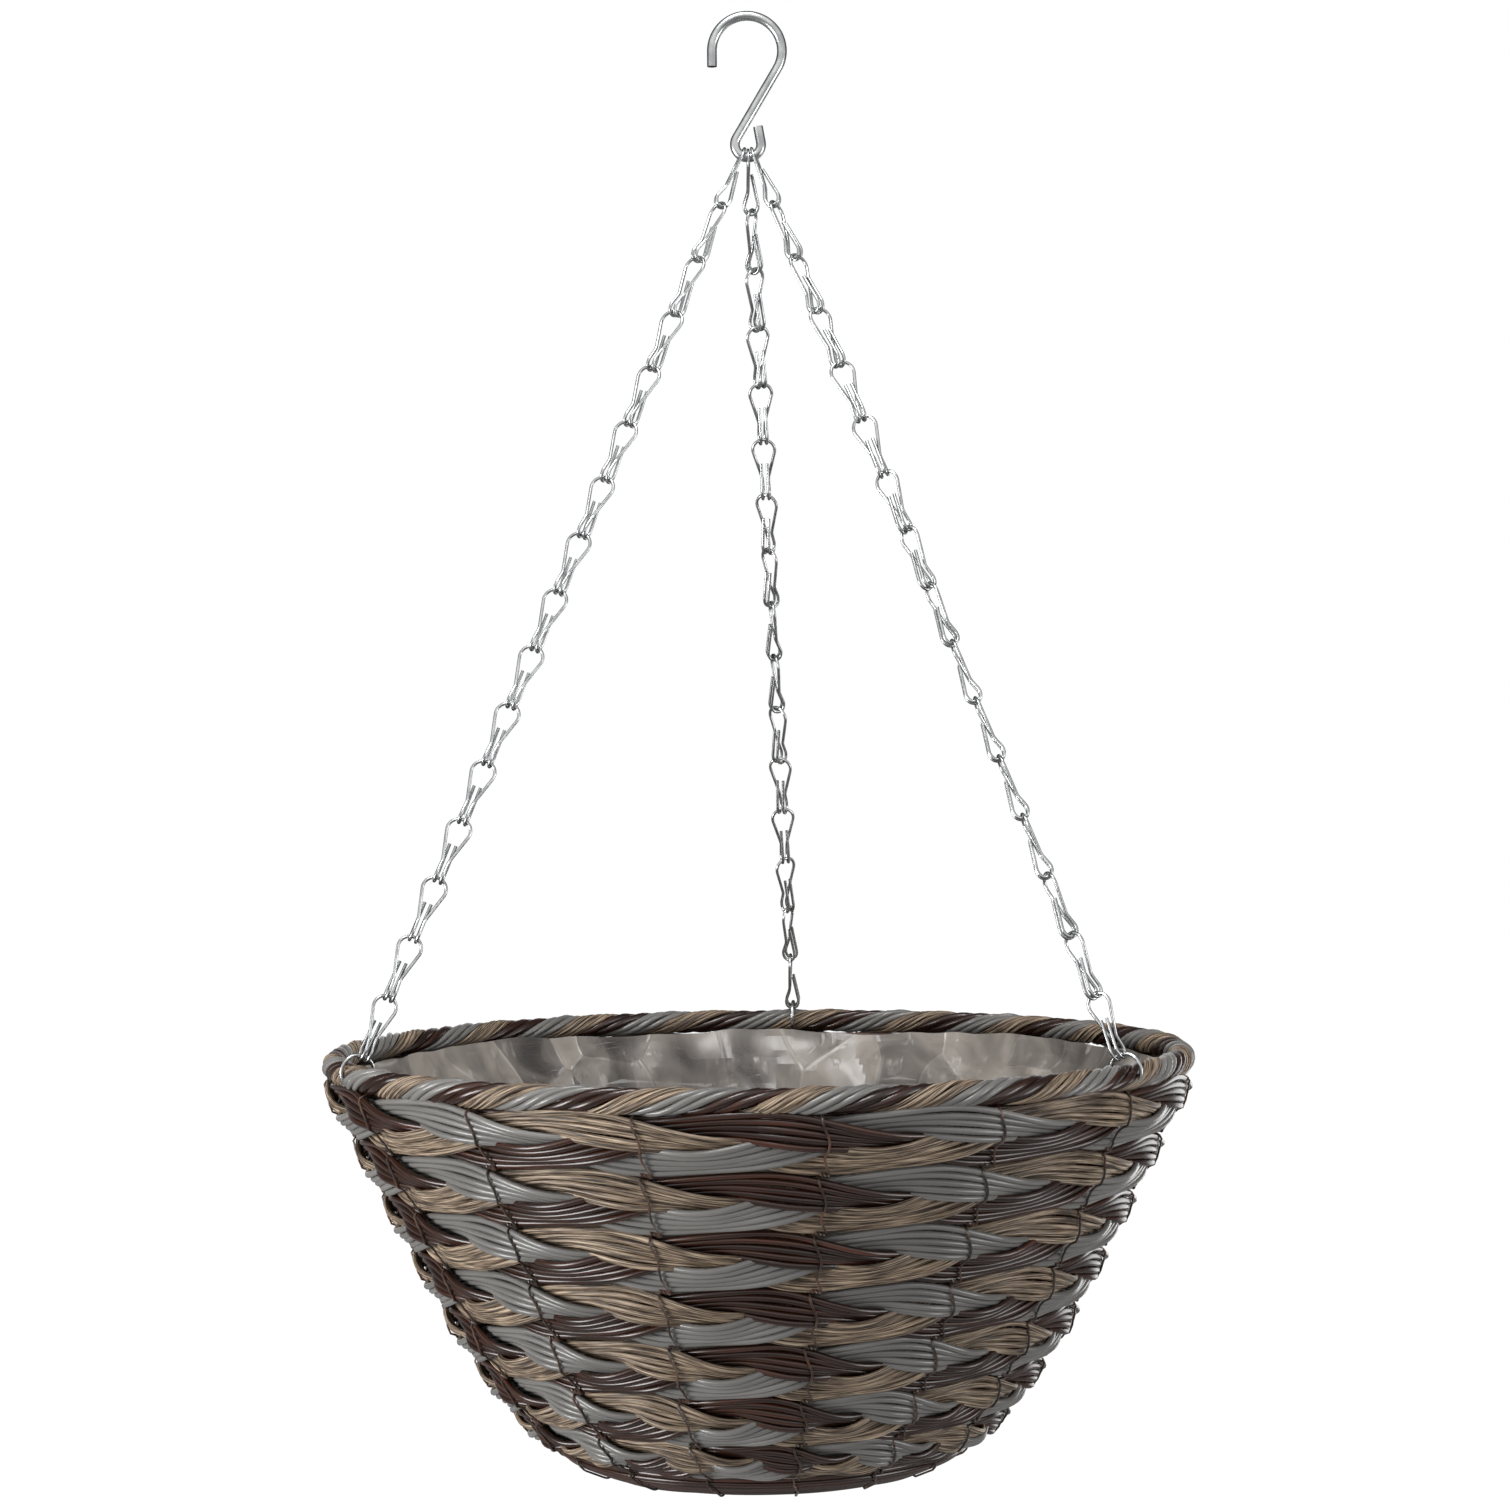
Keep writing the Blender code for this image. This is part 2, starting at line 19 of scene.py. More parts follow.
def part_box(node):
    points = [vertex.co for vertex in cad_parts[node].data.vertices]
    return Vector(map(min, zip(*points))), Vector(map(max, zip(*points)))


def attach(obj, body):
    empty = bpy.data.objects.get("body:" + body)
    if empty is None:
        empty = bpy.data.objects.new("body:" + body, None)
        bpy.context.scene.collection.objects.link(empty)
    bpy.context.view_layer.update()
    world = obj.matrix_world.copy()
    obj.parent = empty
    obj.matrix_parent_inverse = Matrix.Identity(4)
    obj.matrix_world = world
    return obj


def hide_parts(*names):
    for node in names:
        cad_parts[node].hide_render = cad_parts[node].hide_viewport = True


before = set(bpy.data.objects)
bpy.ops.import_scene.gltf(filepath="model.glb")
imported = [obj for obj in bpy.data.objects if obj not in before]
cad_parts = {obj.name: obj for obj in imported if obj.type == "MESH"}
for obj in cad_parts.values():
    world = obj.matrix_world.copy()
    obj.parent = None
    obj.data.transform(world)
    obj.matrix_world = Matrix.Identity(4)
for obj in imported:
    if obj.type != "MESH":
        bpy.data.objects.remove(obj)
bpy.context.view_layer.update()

log = logging.getLogger("planter")
MM = 0.001
TAU = math.tau
WHITE = "#ffffff"
# Faces that meet at less than this angle are shaded as one round surface
SOFT_EDGE = math.radians(50)
# Brings the noise, which seldom passes 0.6, to about -1 to 1
NOISE_GAIN = 1.6
# Points of a wire closer than this share of its radius are made one point
MERGE_SHARE = 0.02
# Gap of the model between pieces that hang in or lean on each other
GAP = 0.3 * MM
# Radius of the chains' wire
LINK_WIRE_R = 0.65 * MM
# A radius and a height, or a way up the wall and out through it
Spot = tuple[float, float]


# Small tools


def linear(colour: str) -> tuple[float, float, float, float]:
    """Turns an sRGB hex colour into linear values.

    Args:
        colour: Six hex digits after a hash.

    Returns:
        Linear red, green and blue, and an alpha of 1.
    """
    parts = [int(colour[i:i + 2], 16) / 255 for i in (1, 3, 5)]
    red, green, blue = (c / 12.92 if c <= 0.04045 else ((c + 0.055) / 1.055) ** 2.4 for c in parts)
    return red, green, blue, 1.0


def set_ramp(ramp: bpy.types.Node, stops: tuple[tuple[float, str], ...]) -> None:
    """Sets the stops of a colour ramp.

    Args:
        ramp: The colour ramp's node.
        stops: Place and hex colour of each stop.
    """
    elements = ramp.color_ramp.elements
    while len(elements) < len(stops):
        elements.new(0.5)
    for element, (place, colour) in zip(elements, stops):
        element.position = place
        element.color = linear(colour)


def set_node(node: bpy.types.Node, settings: dict | None = None, links: dict | None = None) -> bpy.types.Node:
    """Gives a node its settings and the links that reach it.

    Args:
        node: The node.
        settings: Values by socket name, or by number where names repeat, as in a Mix node, by the name of a
            property of the node, or the stops of a colour ramp.
        links: What feeds each input, by the input's name or number. It is a node, for its first output, or
            a node with the name or number of its output.

    Returns:
        The same node.
    """
    for key, value in (settings or {}).items():
        if key == "stops":
            set_ramp(node, value)
        elif isinstance(key, int) or key in node.inputs:
            node.inputs[key].default_value = value
        else:
            setattr(node, key, value)
    for key, source in (links or {}).items():
        giver, output = source if isinstance(source, tuple) else (source, 0)
        node.id_data.links.new(giver.outputs[output], node.inputs[key])
    return node


def add_node(tree: bpy.types.NodeTree, kind: str, settings: dict | None = None,
             links: dict | None = None) -> bpy.types.Node:
    """Adds a node of a kind, named without its first word ShaderNode, and sets it as set_node does."""
    return set_node(tree.nodes.new(f"ShaderNode{kind}"), settings, links)


def blank_material(name: str) -> tuple[bpy.types.Material, bpy.types.NodeTree, bpy.types.Node]:
    """Makes a new material.

    Args:
        name: Name of the finish.

    Returns:
        The material, its node tree and its Principled BSDF.
    """
    material = bpy.data.materials.new(name)
    material.use_nodes = True
    tree = material.node_tree
    return material, tree, tree.nodes["Principled BSDF"]


def smooth(value: np.ndarray | float, low: float, high: float) -> np.ndarray | float:
    """Eases from 0 at low to 1 at high."""
    t = np.clip((np.asarray(value) - low) / (high - low), 0, 1)
    return t * t * (3 - 2 * t)


def wander(count: int, seed: float, length: float, closed: bool = True) -> np.ndarray:
    """Slow random run of values about zero, the same each time.

    Args:
        count: Number of values.
        seed: Picks the run.
        length: How far the run travels through the noise, so a larger one varies faster.
        closed: True if the last value meets the first.

    Returns:
        Values of about -1 to 1.
    """
    turn = np.linspace(0, TAU, count, endpoint=not closed)
    reach = length / TAU
    if closed:
        places = [(reach * math.cos(a), reach * math.sin(a), seed) for a in turn]
    else:
        places = [(reach * a, 0.37, seed) for a in turn]
    return np.array([noise.noise(p) for p in places]) * NOISE_GAIN


def distances(corners: list[Spot]) -> np.ndarray:
    """Distance of each corner of a line from its start."""
    return np.concatenate(([0.0], np.cumsum([math.dist(a, b) for a, b in zip(corners, corners[1:])])))


def spots_along(corners: list[Spot], reach: np.ndarray) -> tuple[np.ndarray, np.ndarray]:
    """Finds the spots at some distances along a line.

    Args:
        corners: Corners of the line.
        reach: Distances from its start.

    Returns:
        The first and the second measure of each spot.
    """
    steps = distances(corners)
    first, second = (np.interp(reach, steps, measures) for measures in zip(*corners))
    return first, second


def even_spots(corners: list[Spot], count: int) -> tuple[np.ndarray, np.ndarray]:
    """The two measures of a number of spots at even steps along a line."""
    return spots_along(corners, np.linspace(0, distances(corners)[-1], count))


def round_axis(angle: np.ndarray, r: np.ndarray, z: np.ndarray) -> np.ndarray:
    """Points at angles from the front, towards +X, with their radii and heights."""
    return np.stack([r * np.sin(angle), -r * np.cos(angle), z + np.zeros_like(angle)], 1)


def deselect() -> None:
    """Leaves edit mode and deselects all objects, because the CAD nodes come selected."""
    if bpy.context.object and bpy.context.object.mode != "OBJECT":
        bpy.ops.object.mode_set(mode="OBJECT")
    bpy.ops.object.select_all(action="DESELECT")


def pick(*pieces: bpy.types.Object) -> None:
    """Selects some pieces and nothing else, and makes the first one active.

    Args:
        pieces: The pieces.
    """
    deselect()
    for piece in pieces:
        piece.select_set(True)
    bpy.context.view_layer.objects.active = pieces[0]


def settle(piece: bpy.types.Object) -> None:
    """Applies the place, turn and size of a piece, so that its object sits at the origin."""
    pick(piece)
    bpy.ops.object.transform_apply(location=True, rotation=True, scale=True)


def merge_points(reach: float, face_out: bool = True) -> None:
    """Merges the doubled points of the active piece.

    Args:
        reach: Distance within which points are merged.
        face_out: True to turn its faces outwards too.
    """
    bpy.ops.object.mode_set(mode="EDIT")
    bpy.ops.mesh.select_all(action="SELECT")
    bpy.ops.mesh.remove_doubles(threshold=reach)
    if face_out:
        bpy.ops.mesh.normals_make_consistent(inside=False)
    bpy.ops.object.mode_set(mode="OBJECT")


def wire_ring(place: Vector, ring_r: float, wire_r: float, segments: tuple[int, int],
              turn: tuple[float, float, float] = (0, 0, 0)) -> bpy.types.Object:
    """Makes a closed ring of round wire.

    Args:
        place: Its centre.
        ring_r: Radius of the ring, to the middle of its wire.
        wire_r: Radius of the wire.
        segments: Faces round the ring, and round the wire.
        turn: Turn of the ring from lying flat.

    Returns:
        The ring, with its place in its mesh.
    """
    deselect()
    bpy.ops.mesh.primitive_torus_add(location=place, rotation=turn, major_radius=ring_r, minor_radius=wire_r,
                                     major_segments=segments[0], minor_segments=segments[1])
    ring = bpy.context.object
    settle(ring)
    return ring


def bent_path(corners: list[Vector], radius: float, steps: int) -> list[Vector]:
    """Rounds the corners of a path with arcs, as a bending tool leaves a wire.

    Args:
        corners: Corner points, with both ends.
        radius: Radius of each bend, made smaller where a straight run is too short for it.
        steps: Steps of each arc.

    Returns:
        Points of the rounded path.
    """
    straight = 0.01
    end_share, middle_share = 0.98, 0.5
    last = len(corners) - 1
    points = [corners[0]]
    for i in range(1, last):
        here = corners[i]
        back, ahead = corners[i - 1] - here, corners[i + 1] - here
        angle = back.angle(ahead)
        if math.pi - angle < straight:
            points.append(here)
            continue
        room = min(back.length * (end_share if i == 1 else middle_share),
                   ahead.length * (end_share if i == last - 1 else middle_share))
        cut = min(radius / math.tan(angle / 2), room)
        bend = cut * math.tan(angle / 2)
        start, end = here + back.normalized() * cut, here + ahead.normalized() * cut
        centre = here + (back.normalized() + ahead.normalized()).normalized() * math.hypot(cut, bend)
        for k in range(steps + 1):
            point = start.lerp(end, k / steps) - centre
            points.append(centre + point.normalized() * bend)
    points.append(corners[-1])
    return points


def wire_object(name: str, runs: list[list[Vector]], radius: float, roundness: int) -> bpy.types.Object:
    """Bends round wire along paths, as curves with a bevel that are then made a mesh.

    Args:
        name: Name of the piece.
        runs: Points of each wire.
        radius: Radius of the wire.
        roundness: Bevel steps of a quarter turn.

    Returns:
        One mesh object at the origin.
    """
    deselect()
    bpy.ops.curve.primitive_nurbs_path_add(location=(0, 0, 0))
    wire = bpy.context.object
    curve = wire.data
    wire.name = curve.name = name
    curve.splines.clear()
    for run in runs:
        spline = curve.splines.new("POLY")
        spline.points.add(len(run) - 1)
        spline.points.foreach_set("co", [c for p in run for c in (*p, 1.0)])
        spline.use_smooth = True
    curve.dimensions = "3D"
    curve.twist_mode = "MINIMUM"
    curve.bevel_depth = radius
    curve.bevel_resolution = roundness
    curve.use_fill_caps = True
    bpy.ops.object.convert(target="MESH")
    merge_points(radius * MERGE_SHARE)
    bpy.ops.object.shade_smooth_by_angle(angle=SOFT_EDGE)
    return wire


# Finishes


class Colour(Enum):
    """The three colours of strand."""

    BROWN = "brown"
    GREY = "grey"
    TAN = "tan"

    @property
    def number(self) -> int:
        """Its place among the colours, which keeps its random runs apart from theirs."""
        return list(Colour).index(self)


@dataclass(frozen=True)
class ZincWire:
    """Bright zinc plate on drawn steel wire: pale and mirror-like, with faint drawing marks and dull patches.

    Its colour at a grazing angle is dark, which draws the edges of the wire against a white ground. The
    drawing marks are coarser than real ones, so that they show.
    """

    name: str = "bright_zinc_wire"
    slot: str = "zinc_wire"
    colour: str = "#c6c8c8"
    dull: str = "#a6a8a9"
    rim: str = "#242426"
    rough: tuple[float, float] = (0.35, 0.21)
    patch: float = 6 * MM
    patch_levels: tuple[float, float] = (0.38, 0.58)
    mark: float = 0.4 * MM
    mark_depth: float = 0.02 * MM
    mark_strength: float = 0.15

    def make(self) -> bpy.types.Material:
        """Builds the material.

        Returns:
            The new material.
        """
        material, tree, shader = blank_material(self.name)
        place = (add_node(tree, "TexCoord"), "Object")
        patches = add_node(tree, "TexNoise", {"Scale": 1 / self.patch, "Detail": 3.0}, {"Vector": place})
        stops = tuple(zip(self.patch_levels, (self.dull, self.colour)))
        tone = add_node(tree, "ValToRGB", {"stops": stops}, {"Fac": patches})
        shine = add_node(tree, "MapRange", {"To Min": self.rough[0], "To Max": self.rough[1]},
                         {"Value": patches})
        marks = add_node(tree, "TexNoise", {"Scale": 1 / self.mark, "Detail": 2.0}, {"Vector": place})
        bump = add_node(tree, "Bump", {"Strength": self.mark_strength, "Distance": self.mark_depth},
                        {"Height": marks})
        set_node(shader, {"Metallic": 1.0, "Specular Tint": linear(self.rim)},
                 {"Base Color": tone, "Roughness": shine, "Normal": bump})
        return material


@dataclass(frozen=True)
class DarkWire:
    """Thin dark brown lacquer on soft iron wire: half-matt, rubbed to a rusty brown here and there."""

    name: str = "dark_lacquered_wire"
    slot: str = "dark_wire"
    colour: str = "#33271f"
    rubbed: str = "#5c4235"
    roughness: float = 0.36
    specular: float = 0.55
    patch: float = 9 * MM
    patch_levels: tuple[float, float] = (0.44, 0.64)
    relief: float = 0.05 * MM
    relief_strength: float = 0.3

    def make(self) -> bpy.types.Material:
        """Builds the material.

        Returns:
            The new material.
        """
        material, tree, shader = blank_material(self.name)
        place = (add_node(tree, "TexCoord"), "Object")
        patches = add_node(tree, "TexNoise", {"Scale": 1 / self.patch, "Detail": 4.0}, {"Vector": place})
        stops = tuple(zip(self.patch_levels, (self.colour, self.rubbed)))
        tone = add_node(tree, "ValToRGB", {"stops": stops}, {"Fac": patches})
        bump = add_node(tree, "Bump", {"Strength": self.relief_strength, "Distance": self.relief},
                        {"Height": patches})
        set_node(shader, {"Roughness": self.roughness, "Specular IOR Level": self.specular},
                 {"Base Color": tone, "Normal": bump})
        return material


@dataclass(frozen=True)
class StrandFinish:
    """Extruded polythene weaving strand, whose streaks and grain run along it.

    The pattern reads the strand's own UV map, in metres along the strand and round it.
    """

    name: str
    slot: str
    stops: tuple[tuple[float, str], ...]
    roughness: float
    shine_spread: float
    streak_across: float
    streak_along: float
    detail: float
    relief: float
    specular: float = 0.5
    patch: float = 60 * MM
    patch_share: float = 0.35
    patch_width: float = 4
    shade_share: float = 0.16
    streak_fineness: float = 0.62
    relief_strength: float = 0.6

    def make(self) -> bpy.types.Material:
        """Builds the material.

        Returns:
            The new material.
        """
        material, tree, shader = blank_material(self.name)
        along = add_node(tree, "UVMap", {"uv_map": "strand"})
        fine = add_node(tree, "Mapping", {"Scale": (1 / self.streak_along, 1 / self.streak_across, 1.0)},
                        {"Vector": along})
        streaks = add_node(tree, "TexNoise", {"Scale": 1.0, "Detail": self.detail,
                                              "Roughness": self.streak_fineness}, {"Vector": fine})
        across = self.patch_width * self.streak_across
        wide = add_node(tree, "Mapping", {"Scale": (1 / self.patch, 1 / across, 1.0)}, {"Vector": along})
        patches = add_node(tree, "TexNoise", {"Scale": 1.0, "Detail": 2.0}, {"Vector": wide})
        both = add_node(tree, "Mix", {"data_type": "FLOAT", 0: self.patch_share}, {2: streaks, 3: patches})
        tone = add_node(tree, "ValToRGB", {"stops": self.stops}, {"Fac": both})
        shade = add_node(tree, "Attribute", {"attribute_name": "shade"})
        level = add_node(tree, "MapRange", {"To Min": 1 - self.shade_share, "To Max": 1 + self.shade_share},
                         {"Value": (shade, "Fac")})
        tint = add_node(tree, "VectorMath", {"operation": "SCALE"}, {0: tone, "Scale": level})
        shine = add_node(tree, "MapRange", {"To Min": self.roughness + self.shine_spread,
                                            "To Max": self.roughness - self.shine_spread}, {"Value": both})
        bump = add_node(tree, "Bump", {"Strength": self.relief_strength, "Distance": self.relief},
                        {"Height": streaks})
        set_node(shader, {"Specular IOR Level": self.specular},
                 {"Base Color": tint, "Roughness": shine, "Normal": bump})
        return material


@dataclass(frozen=True)
class Film:
    """Clear polythene film, crumpled: half seen through and greyish, and less clear where its tone is paler.

    Its tone goes darker and paler facet by facet and in soft clouds. That is painted shade and painted
    light of the facets, with a painted warm reflection in the paler tone. A painted highlight pales its
    creases and drawn folds.

    Each pair of levels says from where to where in the noise a pattern comes in, and a pattern with a
    squeeze below 1 is drawn out upwards. The rates go by the size of a crease.
    """

    name: str = "clear_polythene_film"
    slot: str = "clear_film"
    # Tone of facets in painted shade, then of facets in painted light with a painted warm reflection
    colour: str = "#56524f"
    lit_tone: str = "#ada59c"
    # Painted highlight on creases and drawn folds
    crease_highlight: str = "#cdc7c0"
    # Where in the noise the tone goes from painted shade to painted light
    light_levels: tuple[float, float] = (0.33, 0.62)
    clear: float = 0.52
    cloudy: float = 0.92
    veil_levels: tuple[float, float] = (0.3, 0.7)
    roughness: float = 0.34
    specular: float = 0.6
    gloss: float = 0.1
    gloss_roughness: float = 0.12
    crease: float = 34 * MM
    crease_line: float = 0.03
    fold: float = 7 * MM
    fold_levels: tuple[float, float] = (0.6, 0.72)
    # Where in the clouds creases and folds get their painted highlight, and how strongly
    highlight_levels: tuple[float, float] = (0.42, 0.62)
    highlight_share: float = 0.8
    cell_share: float = 0.5
    cell_squeeze: float = 0.6
    warp_rate: float = 0.5
    cloud_share: float = 0.4
    cloud_rate: float = 1.2
    cloud_swirl: float = 1.5
    fold_squeeze: float = 0.1
    relief: float = 0.5 * MM
    relief_strength: float = 0.6

    def make(self) -> bpy.types.Material:
        """Builds the material.

        Returns:
            The new material.
        """
        material, tree, shader = blank_material(self.name)
        place = (add_node(tree, "TexCoord"), "Object")
        lines, clouds, lit_and_cloudy = self.patterns(tree, place)
        # Tone from facets in painted shade to facets in painted light; the same pattern makes the film less
        # clear
        stops = tuple(zip(self.light_levels, (self.colour, self.lit_tone)))
        tone = add_node(tree, "ValToRGB", {"stops": stops}, {"Fac": lit_and_cloudy})
        # Creases and folds where the clouds are high are paled by a painted highlight
        low, high = self.highlight_levels
        spread = add_node(tree, "MapRange", {"From Min": low, "From Max": high, "To Max": self.highlight_share},
                          {"Value": clouds})
        highlight_mask = add_node(tree, "Math", {"operation": "MULTIPLY"}, {0: lines, 1: spread})
        pale = add_node(tree, "Mix", {"data_type": "RGBA", 7: linear(self.crease_highlight)}, {0: highlight_mask, 6: tone})
        low, high = self.veil_levels
        veil = add_node(tree, "MapRange", {"From Min": low, "From Max": high, "To Min": self.clear,
                                           "To Max": self.cloudy}, {"Value": lit_and_cloudy})
        bump = add_node(tree, "Bump", {"Strength": self.relief_strength, "Distance": self.relief},
                        {"Height": lines})
        set_node(shader, {"Roughness": self.roughness, "Specular IOR Level": self.specular,
                          "Coat Weight": self.gloss, "Coat Roughness": self.gloss_roughness},
                 {"Base Color": (pale, 2), "Alpha": veil, "Normal": bump})
        return material

    def patterns(self, tree: bpy.types.NodeTree,
                 place: tuple[bpy.types.Node, str]) -> tuple[bpy.types.Node, ...]:
        """Adds the patterns that the film's colour, veil and relief share.

        Args:
            tree: The material's node tree.
            place: Where the Object coordinates come from.

        Returns:
            Creases and folds as lines, soft clouds, and the facets' painted light and shade mixed with the
            clouds.
        """
        size = 1 / self.crease
        bent = add_node(tree, "TexNoise", {"Scale": self.warp_rate * size, "Detail": 1.0}, {"Vector": place})
        warp = add_node(tree, "VectorMath", {"operation": "MULTIPLY_ADD", 1: (self.crease,) * 3},
                        {0: (bent, "Color"), 2: place})
        tall = add_node(tree, "Mapping", {"Scale": (1.0, 1.0, self.cell_squeeze)}, {"Vector": warp})
        cells = add_node(tree, "TexVoronoi", {"feature": "F1", "Scale": size}, {"Vector": tall})
        edges = add_node(tree, "TexVoronoi", {"feature": "DISTANCE_TO_EDGE", "Scale": size}, {"Vector": tall})
        parts = add_node(tree, "SeparateColor", {}, {"Color": (cells, "Color")})
        clouds = add_node(tree, "TexNoise", {"Scale": self.cloud_rate * size, "Detail": 3.0,
                                             "Distortion": self.cloud_swirl}, {"Vector": place})
        # Each cell's random level with its distance from the cell's middle: painted light and shade of the
        # facets
        facet = add_node(tree, "Mix", {"data_type": "FLOAT", 0: self.cell_share}, {2: parts, 3: cells})
        lit_and_cloudy = add_node(tree, "Mix", {"data_type": "FLOAT", 0: self.cloud_share}, {2: facet, 3: clouds})
        ridge = add_node(tree, "MapRange", {"From Max": self.crease_line, "To Min": 1.0, "To Max": 0.0},
                         {"Value": edges})
        # Drawn folds, which give relief and, through the lines, a painted highlight
        drawn = add_node(tree, "Mapping", {"Scale": (1.0, 1.0, self.fold_squeeze)}, {"Vector": place})
        drapes = add_node(tree, "TexNoise", {"Scale": 1 / self.fold, "Detail": 2.0}, {"Vector": drawn})
        low, high = self.fold_levels
        draped = add_node(tree, "MapRange", {"From Min": low, "From Max": high}, {"Value": drapes})
        lines = add_node(tree, "Math", {"operation": "MAXIMUM"}, {0: ridge, 1: draped})
        return lines, clouds, lit_and_cloudy


STRANDS = {
    # Dark brown strands: glossy, with a red cast where they are drawn thin
    Colour.BROWN: StrandFinish(
        "dark_brown_strand", "brown_strand",
        ((0.3, "#1b0d07"), (0.5, "#29150c"), (0.6, "#402215"), (0.72, "#5e2d1f")),
        roughness=0.26, shine_spread=0.05, streak_across=1.1 * MM, streak_along=50 * MM, detail=2.0,
        relief=0.06 * MM, specular=0.55),
    # Slate grey strands: even in colour, half-matt, with faint lines from the die
    Colour.GREY: StrandFinish(
        "slate_grey_strand", "grey_strand", ((0.3, "#696764"), (0.5, "#777572"), (0.7, "#858381")),
        roughness=0.25, shine_spread=0.05, streak_across=0.9 * MM, streak_along=60 * MM, detail=2.0,
        relief=0.05 * MM, shade_share=0.1),
    # Tan strands: moulded and rubbed to look like weathered cane, with dark lines in a pale ground
    Colour.TAN: StrandFinish(
        "weathered_tan_strand", "tan_strand",
        ((0.41, "#2b211a"), (0.47, "#5e4f41"), (0.53, "#8f7c68"), (0.62, "#bfac94")),
        roughness=0.5, shine_spread=0.06, streak_across=0.5 * MM, streak_along=18 * MM, detail=2.6,
        relief=0.25 * MM, specular=0.45, patch=30 * MM, patch_share=0.15),
}


@dataclass(frozen=True)
class Coating:
    """A finish that is built: its material, and the slot of the record that it fills."""

    material: bpy.types.Material
    slot: str


class Palette:
    """All the finishes of the planter, built once."""

    def __init__(self) -> None:
        """Builds each finish."""
        self.zinc = self.built(ZincWire())
        self.dark = self.built(DarkWire())
        self.film = self.built(Film())
        self.strands = {colour: self.built(finish) for colour, finish in STRANDS.items()}

    @staticmethod
    def built(finish: ZincWire | DarkWire | Film | StrandFinish) -> Coating:
        """One finish, with its material."""
        return Coating(finish.make(), finish.slot)


def dress(piece: bpy.types.Object, coating: Coating, stands_for: tuple[str, ...] = (),
          body: str = "basket") -> None:
    """Gives a finished piece its material and body.

    Args:
        piece: The finished mesh object.
        coating: Its finish.
        stands_for: CAD nodes that it replaces.
        body: CAD body that it rides on.
    """
    piece.data.materials.clear()
    piece.data.materials.append(coating.material)
    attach(piece, body)
    if stands_for:
        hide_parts(*stands_for)
    log.info("%s: %d faces on %s", piece.name, len(piece.data.polygons), body)


# Strands


class StrandBundle:
    """Collects strands into one mesh, with UVs in metres along each strand and a shade for each.

    A strand in a plait or a rope bends in and out of the wall at every step, and no modelling operator
    sweeps an oval section with its flat side kept to the wall, so the sections are placed here.
    """

    grain_step: float = 0.731
    tip_share: float = 0.5
    shade_gain: float = 0.9

    def __init__(self, seed: float, sides: int) -> None:
        """Starts empty.

        Args:
            seed: Picks the shades and the places of the grain.
            sides: Sides of each strand's section.
        """
        self.seed = seed
        self.sides = sides
        self.points: list[np.ndarray] = []
        self.faces: list[tuple[int, ...]] = []
        self.uvs: list[np.ndarray] = []
        self.shades: list[np.ndarray] = []
        self.count = 0
        self.strands = 0

    def add(self, line: np.ndarray, out: np.ndarray, across: float, thick: float, closed: bool) -> None:
        """Adds one strand.

        Args:
            line: Points of its centreline.
            out: Direction at each point that its flat side faces.
            across: Half its width.
            thick: Half its thickness.
            closed: True if it joins itself.
        """
        sides, count = self.sides, len(line)
        along = np.roll(line, -1, 0) - np.roll(line, 1, 0) if closed else np.gradient(line, axis=0)
        along /= np.linalg.norm(along, axis=1)[:, None]
        face = out - along * (out * along).sum(1)[:, None]
        face /= np.linalg.norm(face, axis=1)[:, None]
        side = np.cross(along, face)
        turn = TAU * np.arange(sides) / sides
        ring = (across * np.cos(turn)[None, :, None] * side[:, None, :]
                + thick * np.sin(turn)[None, :, None] * face[:, None, :])
        points = (line[:, None, :] + ring).reshape(-1, 3)
        step = np.linalg.norm(np.roll(line, -1, 0) - line, axis=1)
        length = np.concatenate(([0.0], np.cumsum(step)))
        girth = math.pi * (across + thick)
        shift = self.grain_step * (self.strands + 1) + self.seed
        i, k = np.meshgrid(np.arange(count if closed else count - 1), np.arange(sides), indexing="ij")
        i, k = i.ravel(), k.ravel()
        ahead, beside = (i + 1) % count, (k + 1) % sides
        corners = np.stack([i * sides + k, ahead * sides + k, ahead * sides + beside, i * sides + beside], 1)
        u = np.stack([length[i], length[i + 1], length[i + 1], length[i]], 1) + shift
        v = np.stack([k, k, k + 1, k + 1], 1) * girth / sides + shift
        self.faces += [tuple(f) for f in (corners + self.count).tolist()]
        self.uvs.append(np.stack([u, v], 2).reshape(-1, 2))
        if not closed:
            reach = thick * self.tip_share
            points = np.concatenate([points, [line[0] - along[0] * reach, line[-1] + along[-1] * reach]])
            tip = self.count + count * sides
            end = self.count + (count - 1) * sides
            self.faces += [(tip, self.count + j, self.count + (j + 1) % sides) for j in range(sides)]
            self.faces += [(tip + 1, end + (j + 1) % sides, end + j) for j in range(sides)]
            self.uvs.append(np.full((6 * sides, 2), shift))
        shade = 0.5 + self.shade_gain * noise.noise((self.seed * 3.1, self.strands * 1.93, 0.5))
        self.shades.append(np.full(len(points), min(max(shade, 0), 1)))
        self.points.append(points)
        self.count += len(points)
        self.strands += 1

    def build(self, name: str) -> bpy.types.Object:
        """Makes the mesh object.

        Args:
            name: Name of the piece.

        Returns:
            The new object, at the origin.
        """
        mesh = bpy.data.meshes.new(name)
        mesh.from_pydata(np.concatenate(self.points).tolist(), [], self.faces)
        layer = mesh.uv_layers.new(name="strand")
        layer.data.foreach_set("uv", np.concatenate(self.uvs).astype(np.float32).ravel())
        shade = mesh.attributes.new("shade", "FLOAT", "POINT")
        shade.data.foreach_set("value", np.concatenate(self.shades).astype(np.float32))
        mesh.shade_smooth()
        piece = bpy.data.objects.new(name, mesh)
        bpy.context.scene.collection.objects.link(piece)
        return piece


# Wall of plaits


